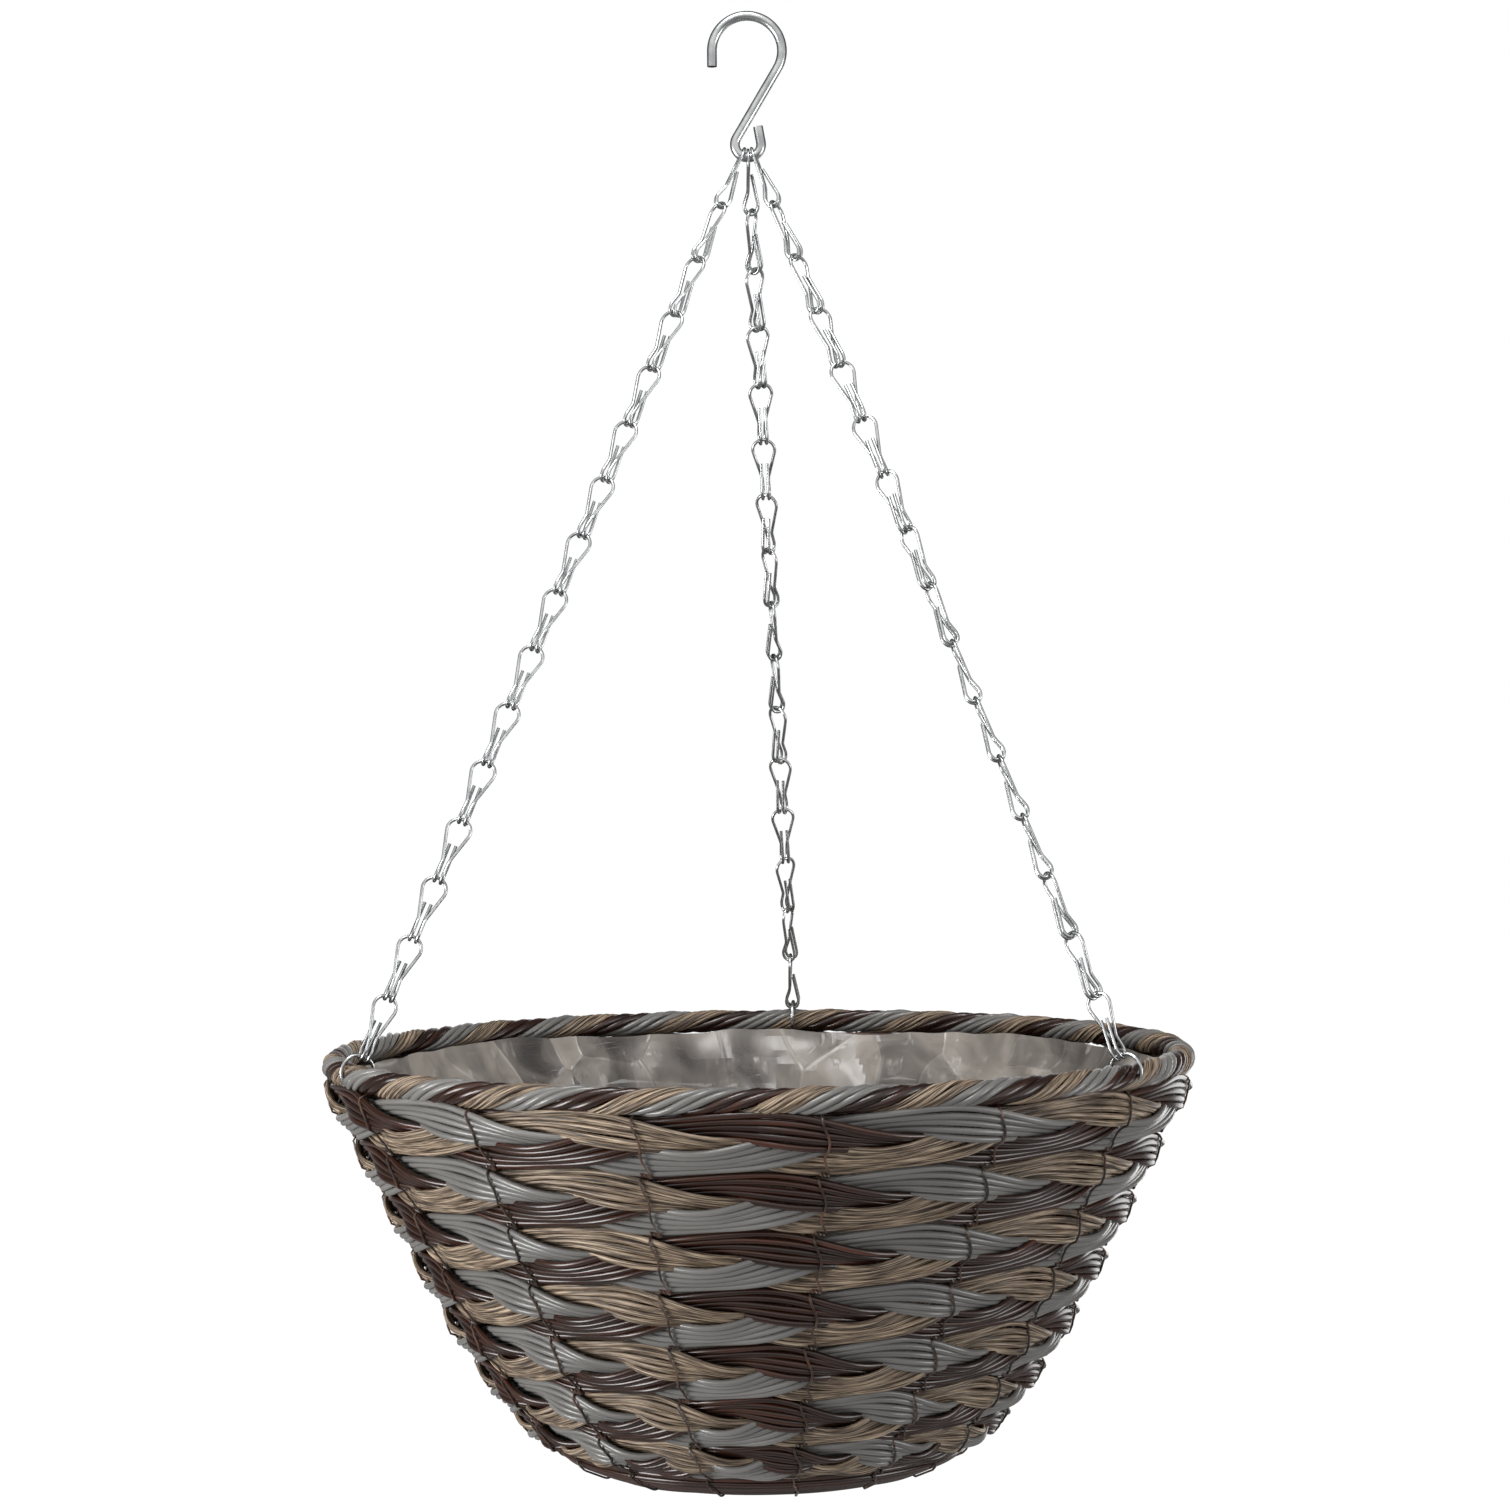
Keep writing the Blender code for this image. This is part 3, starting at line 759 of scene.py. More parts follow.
@dataclass
class WallCurve:
    """The curve that the courses follow, as in the model's source: it leans in faster towards the foot."""

    courses: int = 7
    pitch: float = 25.4 * MM
    space: float = 1.0 * MM
    foot_share: float = 0.84
    rim_r: float = 171 * MM
    rope_r: float = 5.75 * MM
    gap: float = GAP
    tuck: float = math.radians(52)
    rim_lean: float = math.radians(26.5)
    foot_lean: float = math.radians(46)
    growth: float = 4

    def __post_init__(self) -> None:
        """Steps down the wall from its tuck under the rim rope."""
        low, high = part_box("rim_rope")
        self.rim_z = (low.z + high.z) / 2
        self.height = self.pitch - self.space
        reach = self.rope_r + self.gap
        r = self.rim_r + reach * math.cos(self.tuck) - self.height / 2 * math.sin(self.rim_lean)
        z = self.rim_z - reach * math.sin(self.tuck) - self.height / 2 * math.cos(self.rim_lean)
        self.spots: list[tuple[float, float, float]] = []
        for i in range(self.courses):
            self.spots.append((r, z, self.lean_at(i)))
            step = (self.height_at(i) + self.height_at(i + 1)) / 2 + self.space
            middle = self.lean_at(i + 0.5)
            r -= step * math.sin(middle)
            z -= step * math.cos(middle)

    def height_at(self, course: int) -> float:
        """Height of a course along the wall, less at the foot."""
        return self.height * (self.foot_share if course == self.courses - 1 else 1)

    def lean_at(self, course: float) -> float:
        """Lean of the wall from upright, at a course."""
        return self.rim_lean + (self.foot_lean - self.rim_lean) * (course / (self.courses - 1)) ** self.growth

    def place(self, course: int, up: np.ndarray | float,
              out: np.ndarray | float) -> tuple[np.ndarray | float, np.ndarray | float]:
        """Radius and height of points beside a course: up along the wall and out through it."""
        r, z, lean = self.spots[course]
        return (r + out * math.cos(lean) + up * math.sin(lean),
                z - out * math.sin(lean) + up * math.cos(lean))


@dataclass
class PlaitWall:
    """Seven flat plaits, each of three ribbons that cross over and under, with five strands in a ribbon."""

    palette: Palette
    wall: WallCurve
    nodes: tuple[str, ...] = ("plait_courses_1_2", "plait_courses_3_4", "plait_courses_5_6", "plait_course_7")
    period: float = math.radians(67.5)
    crests: dict[Colour, float] = field(default_factory=lambda: {
        Colour.BROWN: math.radians(-1.2), Colour.GREY: math.radians(21.3), Colour.TAN: math.radians(43.8)})
    strands: int = 5
    strand_pitch: float = 2.44 * MM
    strand_r: float = 1.3 * MM
    tan_flatness: float = 0.8
    overhang: float = 1.2 * MM
    weave_depth: float = 1.75 * MM
    dome: float = 1.2 * MM
    roll: float = 0.4
    lag: float = 0.1
    spread: float = 0.05
    course_drift: float = 0.12
    stray_up: float = 0.3 * MM
    stray_out: float = 0.22 * MM
    stray_rates: tuple[float, float] = (30, 26)
    stations: int = 250
    sides: int = 8
    lap: float = math.radians(3.5)
    lap_scatter: float = math.radians(1.6)
    tuck_depth: float = 4.2 * MM
    tuck_run: float = math.radians(13)

    def swing(self, course: int) -> float:
        """How far the middle of a ribbon swings up and down: its crests reach between the next course's."""
        width = (self.strands - 1) * self.strand_pitch + 2 * self.strand_r
        return (self.wall.height_at(course) - width) / 2 + self.overhang

    def strand_place(self, course: int, colour: Colour, strand: int, angle: np.ndarray,
                     stray: bool = True) -> tuple[np.ndarray, np.ndarray]:
        """Where a strand runs in its plait.

        Args:
            course: Number of the course, from the top.
            colour: Colour of the ribbon.
            strand: Number of the strand, from the lower edge of the ribbon.
            angle: Angles from the front.
            stray: True to add the small wander of a hand-made weave.

        Returns:
            How far up along the wall and out through it the strand is at each angle.
        """
        phase = TAU * (angle - self.crests[colour]) / self.period
        phase = phase + self.course_drift * noise.noise((course * 1.7, 0, 2.5))
        offset = (strand - (self.strands - 1) / 2) * self.strand_pitch
        up = self.swing(course) * np.cos(phase) + offset * (1 + self.spread * np.cos(2 * phase))
        tilt = self.roll * np.sin(3 * phase) - self.lag * np.sin(phase)
        out = self.weave_depth * np.sin(2 * phase) - offset * tilt
        out = out - self.dome * (up / (self.wall.height / 2)) ** 2
        if stray:
            seed = course * 7.3 + strand * 1.31 + 19.7 * colour.number
            up = up + self.stray_up * wander(len(angle), seed, self.stray_rates[0], closed=False)
            out = out + self.stray_out * wander(len(angle), seed + 50, self.stray_rates[1], closed=False)
        return up, out

    def build(self) -> None:
        """Makes one piece for each ribbon of each course."""
        for course in range(self.wall.courses):
            for colour in Colour:
                bundle = StrandBundle(course * 2.9 + colour.number * 11.3, self.sides)
                for strand in range(self.strands):
                    self.add_strand(bundle, course, colour, strand)
                piece = bundle.build(f"plait_{course + 1}_{colour.value}")
                first = colour is Colour.BROWN and course % 2 == 0
                dress(piece, self.palette.strands[colour], (self.nodes[course // 2],) if first else ())

    def add_strand(self, bundle: StrandBundle, course: int, colour: Colour, strand: int) -> None:
        """Adds one strand of a ribbon, tucked in at its start, where it laps the end of the next colour.

        Args:
            bundle: The ribbon.
            course: Number of the course, from the top.
            colour: Colour of the ribbon.
            strand: Number of the strand, from the lower edge of the ribbon.
        """
        uneven = self.lap_scatter * noise.noise((course * 3.3, strand * 2.1, 8 + colour.number))
        start, end = -math.pi - self.lap + uneven, math.pi + self.lap + uneven
        angle = np.linspace(start, end, self.stations)
        up, out = self.strand_place(course, colour, strand, angle)
        out = out - self.tuck_depth * (1 - smooth(angle, start, start + self.tuck_run))
        r, z = self.wall.place(course, up, out)
        lean = self.wall.spots[course][2]
        out_way = round_axis(angle, np.full_like(angle, math.cos(lean)), np.full_like(angle, -math.sin(lean)))
        flatness = self.tan_flatness if colour is Colour.TAN else 1.0
        bundle.add(round_axis(angle, r, z), out_way, self.strand_r, self.strand_r * flatness, closed=False)


# Tie wires


@dataclass
class TieWires:
    """Dark wire that binds every plait, and the edge of the base, to the ribs of the frame."""

    palette: Palette
    wall: WallCurve
    plaits: PlaitWall
    ties: int = 16
    first: float = math.radians(-14.4)
    wire_r: float = 0.45 * MM
    roundness: int = 1
    slant: float = 1.7 * MM
    zigzag: float = 0.9 * MM
    zigzag_waves: float = 2
    scatter: float = 0.6 * MM
    scatter_rate: float = 9
    tight: float = 0.6
    pull: float = 2 * MM
    reach_in: float = 3 * MM
    points: int = 22
    hull_points: int = 16
    twist_share: float = 0.85
    twist_r: float = 0.5 * MM
    twist_turns: float = 1.5
    twist_depth: float = 0.4 * MM
    twist_fall: float = 0.25
    twist_points: int = 11
    twist_reach: float = 1.1
    band: tuple[Spot, ...] = ((84.4 * MM, -0.6 * MM), (86.1 * MM, 1.0 * MM), (84.2 * MM, 6.3 * MM),
                              (82.4 * MM, 8.1 * MM), (73.2 * MM, 12.2 * MM), (70.6 * MM, 11.2 * MM))
    band_slant: tuple[float, float] = (-1, 2)
    band_bend: float = 2 * MM
    bend_steps: int = 3

    def build(self) -> None:
        """Makes the loops and the twists between them, as one piece each."""
        loops, twists = [], []
        for tie in range(self.ties):
            angle = self.first + TAU * tie / self.ties
            for course in range(self.wall.courses):
                loops.append(self.loop(course, angle))
                if course:
                    twists += self.twist(course, angle)
            loops.append(self.base_loop(angle))
        for name, runs, share in (("tie_loops", loops, 1), ("tie_twists", twists, self.twist_share)):
            dress(wire_object(name, runs, self.wire_r * share, self.roundness), self.palette.dark)

    def loop(self, course: int, angle: float) -> list[Vector]:
        """Bends the wire tightly over one plait, in from the gap above it and back in at the gap below.

        Args:
            course: Number of the course, from the top.
            angle: Angle of the tie from the front.

        Returns:
            Points of the wire.
        """
        hull = self.outer_hull(course, angle)
        start, end = ((up, out - self.reach_in) for up, out in (hull[0], hull[-1]))
        up, out = even_spots([start, *hull, end], self.points)
        out = out - self.tight * np.clip(out - self.envelope(course, angle, up), 0, self.pull)
        down = np.linspace(0, 1, self.points)
        aside = self.slant * (2 * down - 1) - self.zigzag * np.sin(TAU * self.zigzag_waves * down)
        aside = aside + self.scatter * noise.noise((course, angle * self.scatter_rate, 1))
        return self.on_wall(course, angle, aside, up, out)

    def twist(self, course: int, angle: float) -> list[list[Vector]]:
        """Twists the wire together in the gap above a course, from one loop's end to the next one's start.

        Args:
            course: Number of the course, from the top.
            angle: Angle of the tie from the front.

        Returns:
            Points of the two wires.
        """
        runs = []
        aside = np.linspace(-self.twist_reach, self.twist_reach, self.twist_points) * self.slant
        for half in (0, math.pi):
            turn = TAU * self.twist_turns * np.linspace(0, 1, len(aside)) + half
            up = self.wall.pitch / 2 + self.twist_r * np.cos(turn) - self.twist_fall * aside
            out = self.twist_depth + self.twist_r * np.sin(turn)
            runs.append(self.on_wall(course, angle, aside, up, out))
        return runs

    def on_wall(self, course: int, angle: float, aside: np.ndarray, up: np.ndarray,
                out: np.ndarray) -> list[Vector]:
        """Puts the points of a tie on a course: aside round the wall, up along it and out through it."""
        r, z = self.wall.place(course, up, out)
        return [Vector(p) for p in round_axis(angle + aside / self.wall.spots[course][0], r, z)]

    def base_loop(self, angle: float) -> list[Vector]:
        """Bends the wire over the border of the base.

        Args:
            angle: Angle of the tie from the front.

        Returns:
            Points of the wire.
        """
        top_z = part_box("base_weave")[1].z
        points = bent_path([Vector((r, 0, top_z - drop)) for r, drop in self.band], self.band_bend,
                           self.bend_steps)
        lean = angle + self.slant * np.linspace(*self.band_slant, len(points)) / self.band[0][0]
        r, z = np.array([p.x for p in points]), np.array([p.z for p in points])
        return [Vector(p) for p in round_axis(lean, r, z)]

    def strand_places(self, course: int, angle: float) -> list[Spot]:
        """Where each strand of a plait runs at an angle: up along the wall and out through it."""
        runs = [self.plaits.strand_place(course, colour, strand, np.array([angle]), stray=False)
                for colour in Colour for strand in range(self.plaits.strands)]
        return [(float(up[0]), float(out[0])) for up, out in runs]

    def envelope(self, course: int, angle: float, up: np.ndarray) -> np.ndarray:
        """How far out the wire lies where it touches the strands below it.

        Args:
            course: Number of the course, from the top.
            angle: Angle of the tie from the front.
            up: How far up along the wall each point is.

        Returns:
            How far out through the wall each point is.
        """
        reach = self.plaits.strand_r + self.wire_r
        best = np.full(len(up), -self.wall.height)
        for place_up, place_out in self.strand_places(course, angle):
            beside = np.abs(up - place_up)
            rise = np.sqrt(np.clip(reach ** 2 - beside ** 2, 0, None))
            best = np.where(beside < reach, np.maximum(best, place_out + rise), best)
        return best

    def outer_hull(self, course: int, angle: float) -> list[Spot]:
        """Outer side of the tight line round a plait's strands.

        Args:
            course: Number of the course, from the top.
            angle: Angle of the tie from the front.

        Returns:
            Spots of the line, from the upper edge to the lower one.
        """
        reach = self.plaits.strand_r + self.wire_r
        turns = np.linspace(0, TAU, self.hull_points, endpoint=False)
        spots = [(up + reach * math.cos(a), out + reach * math.sin(a))
                 for up, out in self.strand_places(course, angle) for a in turns]
        hull: list[Spot] = []
        for spot in sorted(spots, reverse=True):
            while len(hull) > 1 and self.turns_in(hull[-2], hull[-1], spot):
                hull.pop()
            hull.append(spot)
        return hull

    @staticmethod
    def turns_in(a: Spot, b: Spot, c: Spot) -> bool:
        """True if the middle one of three points lies inside the line through the others."""
        return (b[0] - a[0]) * (c[1] - a[1]) - (b[1] - a[1]) * (c[0] - a[0]) <= 0


# Rim rope


@dataclass
class RimRope:
    """Three coloured bundles of strands laid as a rope along the rim, twenty twists to the round."""

    palette: Palette
    wall: WallCurve
    twists: int = 20
    strands: dict[Colour, tuple[int, float]] = field(default_factory=lambda: {
        Colour.GREY: (3, 1.36 * MM), Colour.BROWN: (2, 1.95 * MM), Colour.TAN: (5, 0.92 * MM)})
    phases: dict[Colour, float] = field(default_factory=lambda: {
        Colour.GREY: math.radians(9.0), Colour.BROWN: math.radians(15.0), Colour.TAN: math.radians(21.0)})
    tan_flatness: float = 0.85
    bundle_fill: float = 0.94
    groove: float = 0.5 * MM
    slip: float = 0.28
    slip_rate: float = 16
    strand_slip: float = 0.1
    strand_slip_rate: float = 60
    stray: float = 0.2 * MM
    stray_rate: float = 90
    core_r: float = 3.2 * MM
    core_stations: int = 96
    stations_per_twist: int = 22
    sides: int = 8

    def build(self) -> None:
        """Makes one piece for each colour."""
        for colour in Colour:
            bundle = StrandBundle(40 + 13.7 * colour.number, self.sides)
            for strand in range(self.strands[colour][0]):
                self.add_strand(bundle, colour, strand)
            if colour is Colour.BROWN:
                self.add_core(bundle)
            piece = bundle.build(f"rim_rope_{colour.value}")
            dress(piece, self.palette.strands[colour], ("rim_rope",) if colour is Colour.GREY else ())

    def add_strand(self, bundle: StrandBundle, colour: Colour, strand: int) -> None:
        """Adds one strand, wound round the middle of the rope.

        Args:
            bundle: The strands of one colour.
            colour: Their colour.
            strand: Number of the strand.
        """
        count = self.twists * self.stations_per_twist
        angle = np.linspace(0, TAU, count, endpoint=False)
        strands, strand_r = self.strands[colour]
        offset = strand - (strands - 1) / 2
        share = TAU / 3 / strands * self.bundle_fill
        seed = 3.7 * strand + 21 * colour.number
        slip = self.slip * wander(count, 5.5, self.slip_rate)
        slip = slip + self.strand_slip * wander(count, seed, self.strand_slip_rate)
        turn = self.twists * (angle - self.phases[colour]) + offset * share + slip
        depth = self.groove * (abs(offset) * 2 / (strands - 1)) ** 2
        depth = depth + self.stray * (1 + wander(count, seed + 9, self.stray_rate))
        reach = self.wall.rope_r - strand_r - depth
        out, rise = np.cos(turn), np.sin(turn)
        line = round_axis(angle, self.wall.rim_r + reach * out, self.wall.rim_z + reach * rise)
        flatness = self.tan_flatness if colour is Colour.TAN else 1.0
        bundle.add(line, round_axis(angle, out, rise), strand_r, strand_r * flatness, closed=True)

    def add_core(self, bundle: StrandBundle) -> None:
        """Adds the plain core that fills the rope's middle.

        Args:
            bundle: The strands that it is made with.
        """
        angle = np.linspace(0, TAU, self.core_stations, endpoint=False)
        out = round_axis(angle, np.ones_like(angle), np.zeros_like(angle))
        line = round_axis(angle, np.full_like(angle, self.wall.rim_r), np.full_like(angle, self.wall.rim_z))
        bundle.add(line, out, self.core_r, self.core_r, closed=True)


# Base


@dataclass
class Base:
    """Coiled brown strands: plain round the edge, woven over and under eight stakes below."""

    palette: Palette
    strand_r: float = 1.28 * MM
    strand_pitch: float = 2.3 * MM
    top: Spot = (84.3 * MM, 1.0 * MM)
    middle: Spot = (82.3 * MM, 6.0 * MM)
    foot: Spot = (72.2 * MM, 10.6 * MM)
    hub_r: float = 2.4 * MM
    stakes: int = 8
    first: float = math.radians(6.9)
    stake_r: float = 1.1 * MM
    stake_points: int = 21
    stake_roundness: int = 2
    weave: float = 0.95 * MM
    stray: float = 0.25 * MM
    stray_rate: float = 12
    stations: int = 128
    sides: int = 6

    def build(self) -> None:
        """Makes the coil and the stakes."""
        top_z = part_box("base_weave")[1].z
        corners = [(r, top_z - drop) for r, drop in (self.top, self.middle, self.foot)]
        level = corners[-1][1]
        corners.append((self.hub_r, level))
        steps = distances(corners)
        reach = self.strand_pitch * np.arange(int(steps[-1] / self.strand_pitch) + 1)
        bundle = StrandBundle(77, self.sides)
        angle = np.linspace(0, TAU, self.stations, endpoint=False)
        down = round_axis(angle, np.zeros_like(angle), -np.ones_like(angle))
        for ring, (r, z) in enumerate(zip(*spots_along(corners, reach))):
            wave = self.weave if reach[ring] > steps[2] else 0.0
            stray = self.stray * wander(self.stations, ring * 1.7, self.stray_rate)
            heights = z + stray + wave * np.cos(self.stakes / 2 * (angle - self.first) + ring * math.pi)
            bundle.add(round_axis(angle, r + stray, heights), down, self.strand_r, self.strand_r, closed=True)
        dress(bundle.build("base_coil"), self.palette.strands[Colour.BROWN], ("base_weave",))
        runs = [self.stake(number, level) for number in range(self.stakes // 2)]
        dress(wire_object("base_stakes", runs, self.stake_r, self.stake_roundness), self.palette.dark)

    def stake(self, number: int, level: float) -> list[Vector]:
        """Lays one straight wire across the base, as two stakes.

        Args:
            number: Number of the wire.
            level: Height of the underside.

        Returns:
            Points of the wire.
        """
        turn = self.first + TAU * number / self.stakes
        way = self.foot[0] * Vector((math.sin(turn), -math.cos(turn), 0))
        last = self.stake_points - 1
        return [way * (1 - 2 * k / last) + Vector((0, 0, level)) for k in range(self.stake_points)]


# Wire frame


@dataclass
class WireFrame:
    """Two hoops and sixteen welded ribs behind the plaits."""

    palette: Palette
    wall: WallCurve
    wire_r: float = 1.25 * MM
    roundness: int = 2
    ribs: int = 16
    first: float = math.radians(6.9)
    rib_bend: float = 60 * MM
    bend_steps: int = 4
    hoop_tuck: float = math.radians(240)
    hoop_segments: tuple[int, int] = (128, 10)
    plait_half: float = 4 * MM
    foot_r: float = 80.76 * MM

    def build(self) -> None:
        """Makes the hoops as rings and the ribs as bent wires, joined as one welded piece."""
        w = self.wall
        reach = w.rope_r + w.gap + self.wire_r
        top = (w.rim_r + reach * math.cos(self.hoop_tuck), w.rim_z + reach * math.sin(self.hoop_tuck))
        foot = (self.foot_r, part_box("wire_frame")[0].z + self.wire_r)
        inset = self.plait_half + w.gap + self.wire_r
        profile = [top, *(w.place(i, 0.0, -inset) for i in range(1, w.courses)), foot]
        runs = []
        for rib in range(self.ribs):
            turn = self.first + TAU * rib / self.ribs
            corners = [Vector((r * math.cos(turn), r * math.sin(turn), z)) for r, z in profile]
            runs.append(bent_path(corners, self.rib_bend, self.bend_steps))
        ribs = wire_object("wire_frame_ribs", runs, self.wire_r, self.roundness)
        hoops = [wire_ring(Vector((0, 0, z)), r, self.wire_r, self.hoop_segments) for r, z in (top, foot)]
        pick(ribs, *hoops)
        bpy.ops.object.join()
        ribs.name = "wire_frame_welded"
        bpy.ops.object.shade_smooth_by_angle(angle=SOFT_EDGE)
        dress(ribs, self.palette.dark, ("wire_frame",))


# Liner


@dataclass
class Liner:
    """Crumpled film laid in the basket, gathered from a round cut, with its edge loose under the rope."""

    palette: Palette
    wall: WallCurve
    edge_r: float = 164.3 * MM
    edge_drop: float = 3.6 * MM
    inset: float = 7.4 * MM
    floor_r: float = 74 * MM
    floor_gap: float = 1.0 * MM
    middle_r: float = 0.5 * MM
    thickness: float = 0.12 * MM
    spin_merge: float = 0.05 * MM
    crush_merge: float = 0.02 * MM
    cut: float = 0.49
    around: int = 480
    down: int = 80
    soft_edge: float = math.radians(10)
    facet: float = 34 * MM
    relief: float = 7 * MM
    small_size: float = 2.7
    small_share: float = 0.03
    deepest: float = 1.1
    slack: float = 0.4 * MM
    skew: tuple[float, float, float] = (0.4, -0.3, 0.2)
    pleats: int = 9
    pleat_depth: float = 1.6 * MM
    pleat_sway: float = 3
    pleat_rate: float = 9
    rim_share: float = 0.25
    rim_run: tuple[float, float] = (-1 * MM, 14 * MM)
    floor_edge: float = 2 * MM
    floor_lift: float = 1.4
    floor_share: float = 0.3
    edge_wave: float = 2.6 * MM
    edge_wave_rate: float = 22
    edge_ripple: float = 1.5 * MM
    edge_ripple_rate: float = 60
    edge_run: float = 16 * MM

    def build(self) -> None:
        """Spins the cup from its profile, crumples it and gives it its thickness."""
        cup = self.spun_cup()
        self.crumple(cup)
        pick(cup)
        merge_points(self.crush_merge, face_out=False)
        wall = cup.modifiers.new("film", "SOLIDIFY")
        wall.thickness = self.thickness
        wall.offset = 0
        bpy.ops.object.modifier_apply(modifier=wall.name)
        bpy.ops.object.shade_smooth_by_angle(angle=self.soft_edge)
        dress(cup, self.palette.film, ("liner",))

    def profile(self) -> list[Spot]:
        """Lays the film down the wall and across the floor.

        Returns:
            Radius and height of its points, from its edge to the middle of the floor.
        """
        w = self.wall
        floor_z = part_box("liner")[0].z + self.floor_gap
        corners = [(self.edge_r, w.rim_z - self.edge_drop)]
        corners += [w.place(i, 0.0, -self.inset) for i in range(w.courses)]
        corners += [(self.floor_r, floor_z), (self.middle_r, floor_z)]
        return list(zip(*even_spots(corners, self.down)))

    def spun_cup(self) -> bpy.types.Object:
        """Spins a line of vertices along the profile about the axis.

        Returns:
            The plain cup.
        """
        deselect()
        bpy.ops.mesh.primitive_plane_add(size=1, location=(0, 0, 0))
        cup = bpy.context.object
        cup.name = cup.data.name = "film_liner"
        profile = self.profile()
        cup.data.clear_geometry()
        edges = [(i, i + 1) for i in range(len(profile) - 1)]
        cup.data.from_pydata([(r, 0, z) for r, z in profile], edges, [])
        bpy.ops.object.mode_set(mode="EDIT")
        bpy.ops.mesh.select_all(action="SELECT")
        bpy.ops.mesh.spin(steps=self.around, angle=TAU, center=(0, 0, 0), axis=(0, 0, 1),
                          use_auto_merge=False)
        merge_points(self.spin_merge)
        return cup

    def crumple(self, cup: bpy.types.Object) -> None:
        """Pushes the film inwards in pleats, dents and sharp creases, and makes its edge wave.

        Args:
            cup: The plain cup.
        """
        points = np.zeros(len(cup.data.vertices) * 3)
        cup.data.vertices.foreach_get("co", points)
        points = points.reshape(-1, 3)
        floor_z = self.wall.spots[-1][1] - self.floor_edge
        for i, (x, y, z) in enumerate(points):
            r = math.hypot(x, y)
            if r < 2 * self.middle_r:
                continue
            below = self.wall.rim_z - self.edge_drop - z
            free = float(smooth(below, *self.rim_run))
            inward = self.dent(x, y, z) * (free * (1 - self.rim_share) + self.rim_share)
            lift = 0.0
            if z < floor_z:
                lift, inward = inward * self.floor_lift, inward * self.floor_share
            wave, ripple = self.edge_wave_rate, self.edge_ripple_rate
            edge = self.edge_wave * noise.noise((x * wave, y * wave, 7))
            edge += self.edge_ripple * noise.noise((x * ripple, y * ripple, 3))
            lift += edge * float(1 - smooth(below, 0, self.edge_run))
            points[i] = (x * (r - inward) / r, y * (r - inward) / r, z + lift)
        cup.data.vertices.foreach_set("co", points.ravel())
        cup.data.update()

    def dent(self, x: float, y: float, z: float) -> float:
        """Depth of the facets and the upright pleats at a point of the plain cup.

        Args:
            x: The point's place to the right.
            y: Its place to the back.
            z: Its height.

        Returns:
            How far the film is pushed inwards there.
        """
        right, back, rise = self.skew
        spot = Vector((x + right * z, y + back * z, z + rise * x)) / self.facet
        large = noise.voronoi(spot, distance_metric="MANHATTAN")[0][0]
        small = noise.voronoi(spot * self.small_size + Vector((5, 2, 9)), distance_metric="MANHATTAN")[0][0]
        facets = min(large, self.deepest) + self.small_share * min(small, self.deepest)
        sway = self.pleat_sway * noise.noise((x * self.pleat_rate, y * self.pleat_rate, 1.3))
        pleat = abs(math.sin(math.atan2(y, x) * self.pleats + sway))
        return self.slack + self.relief * facets + self.pleat_depth * (1 - pleat) ** 2


# Hanger


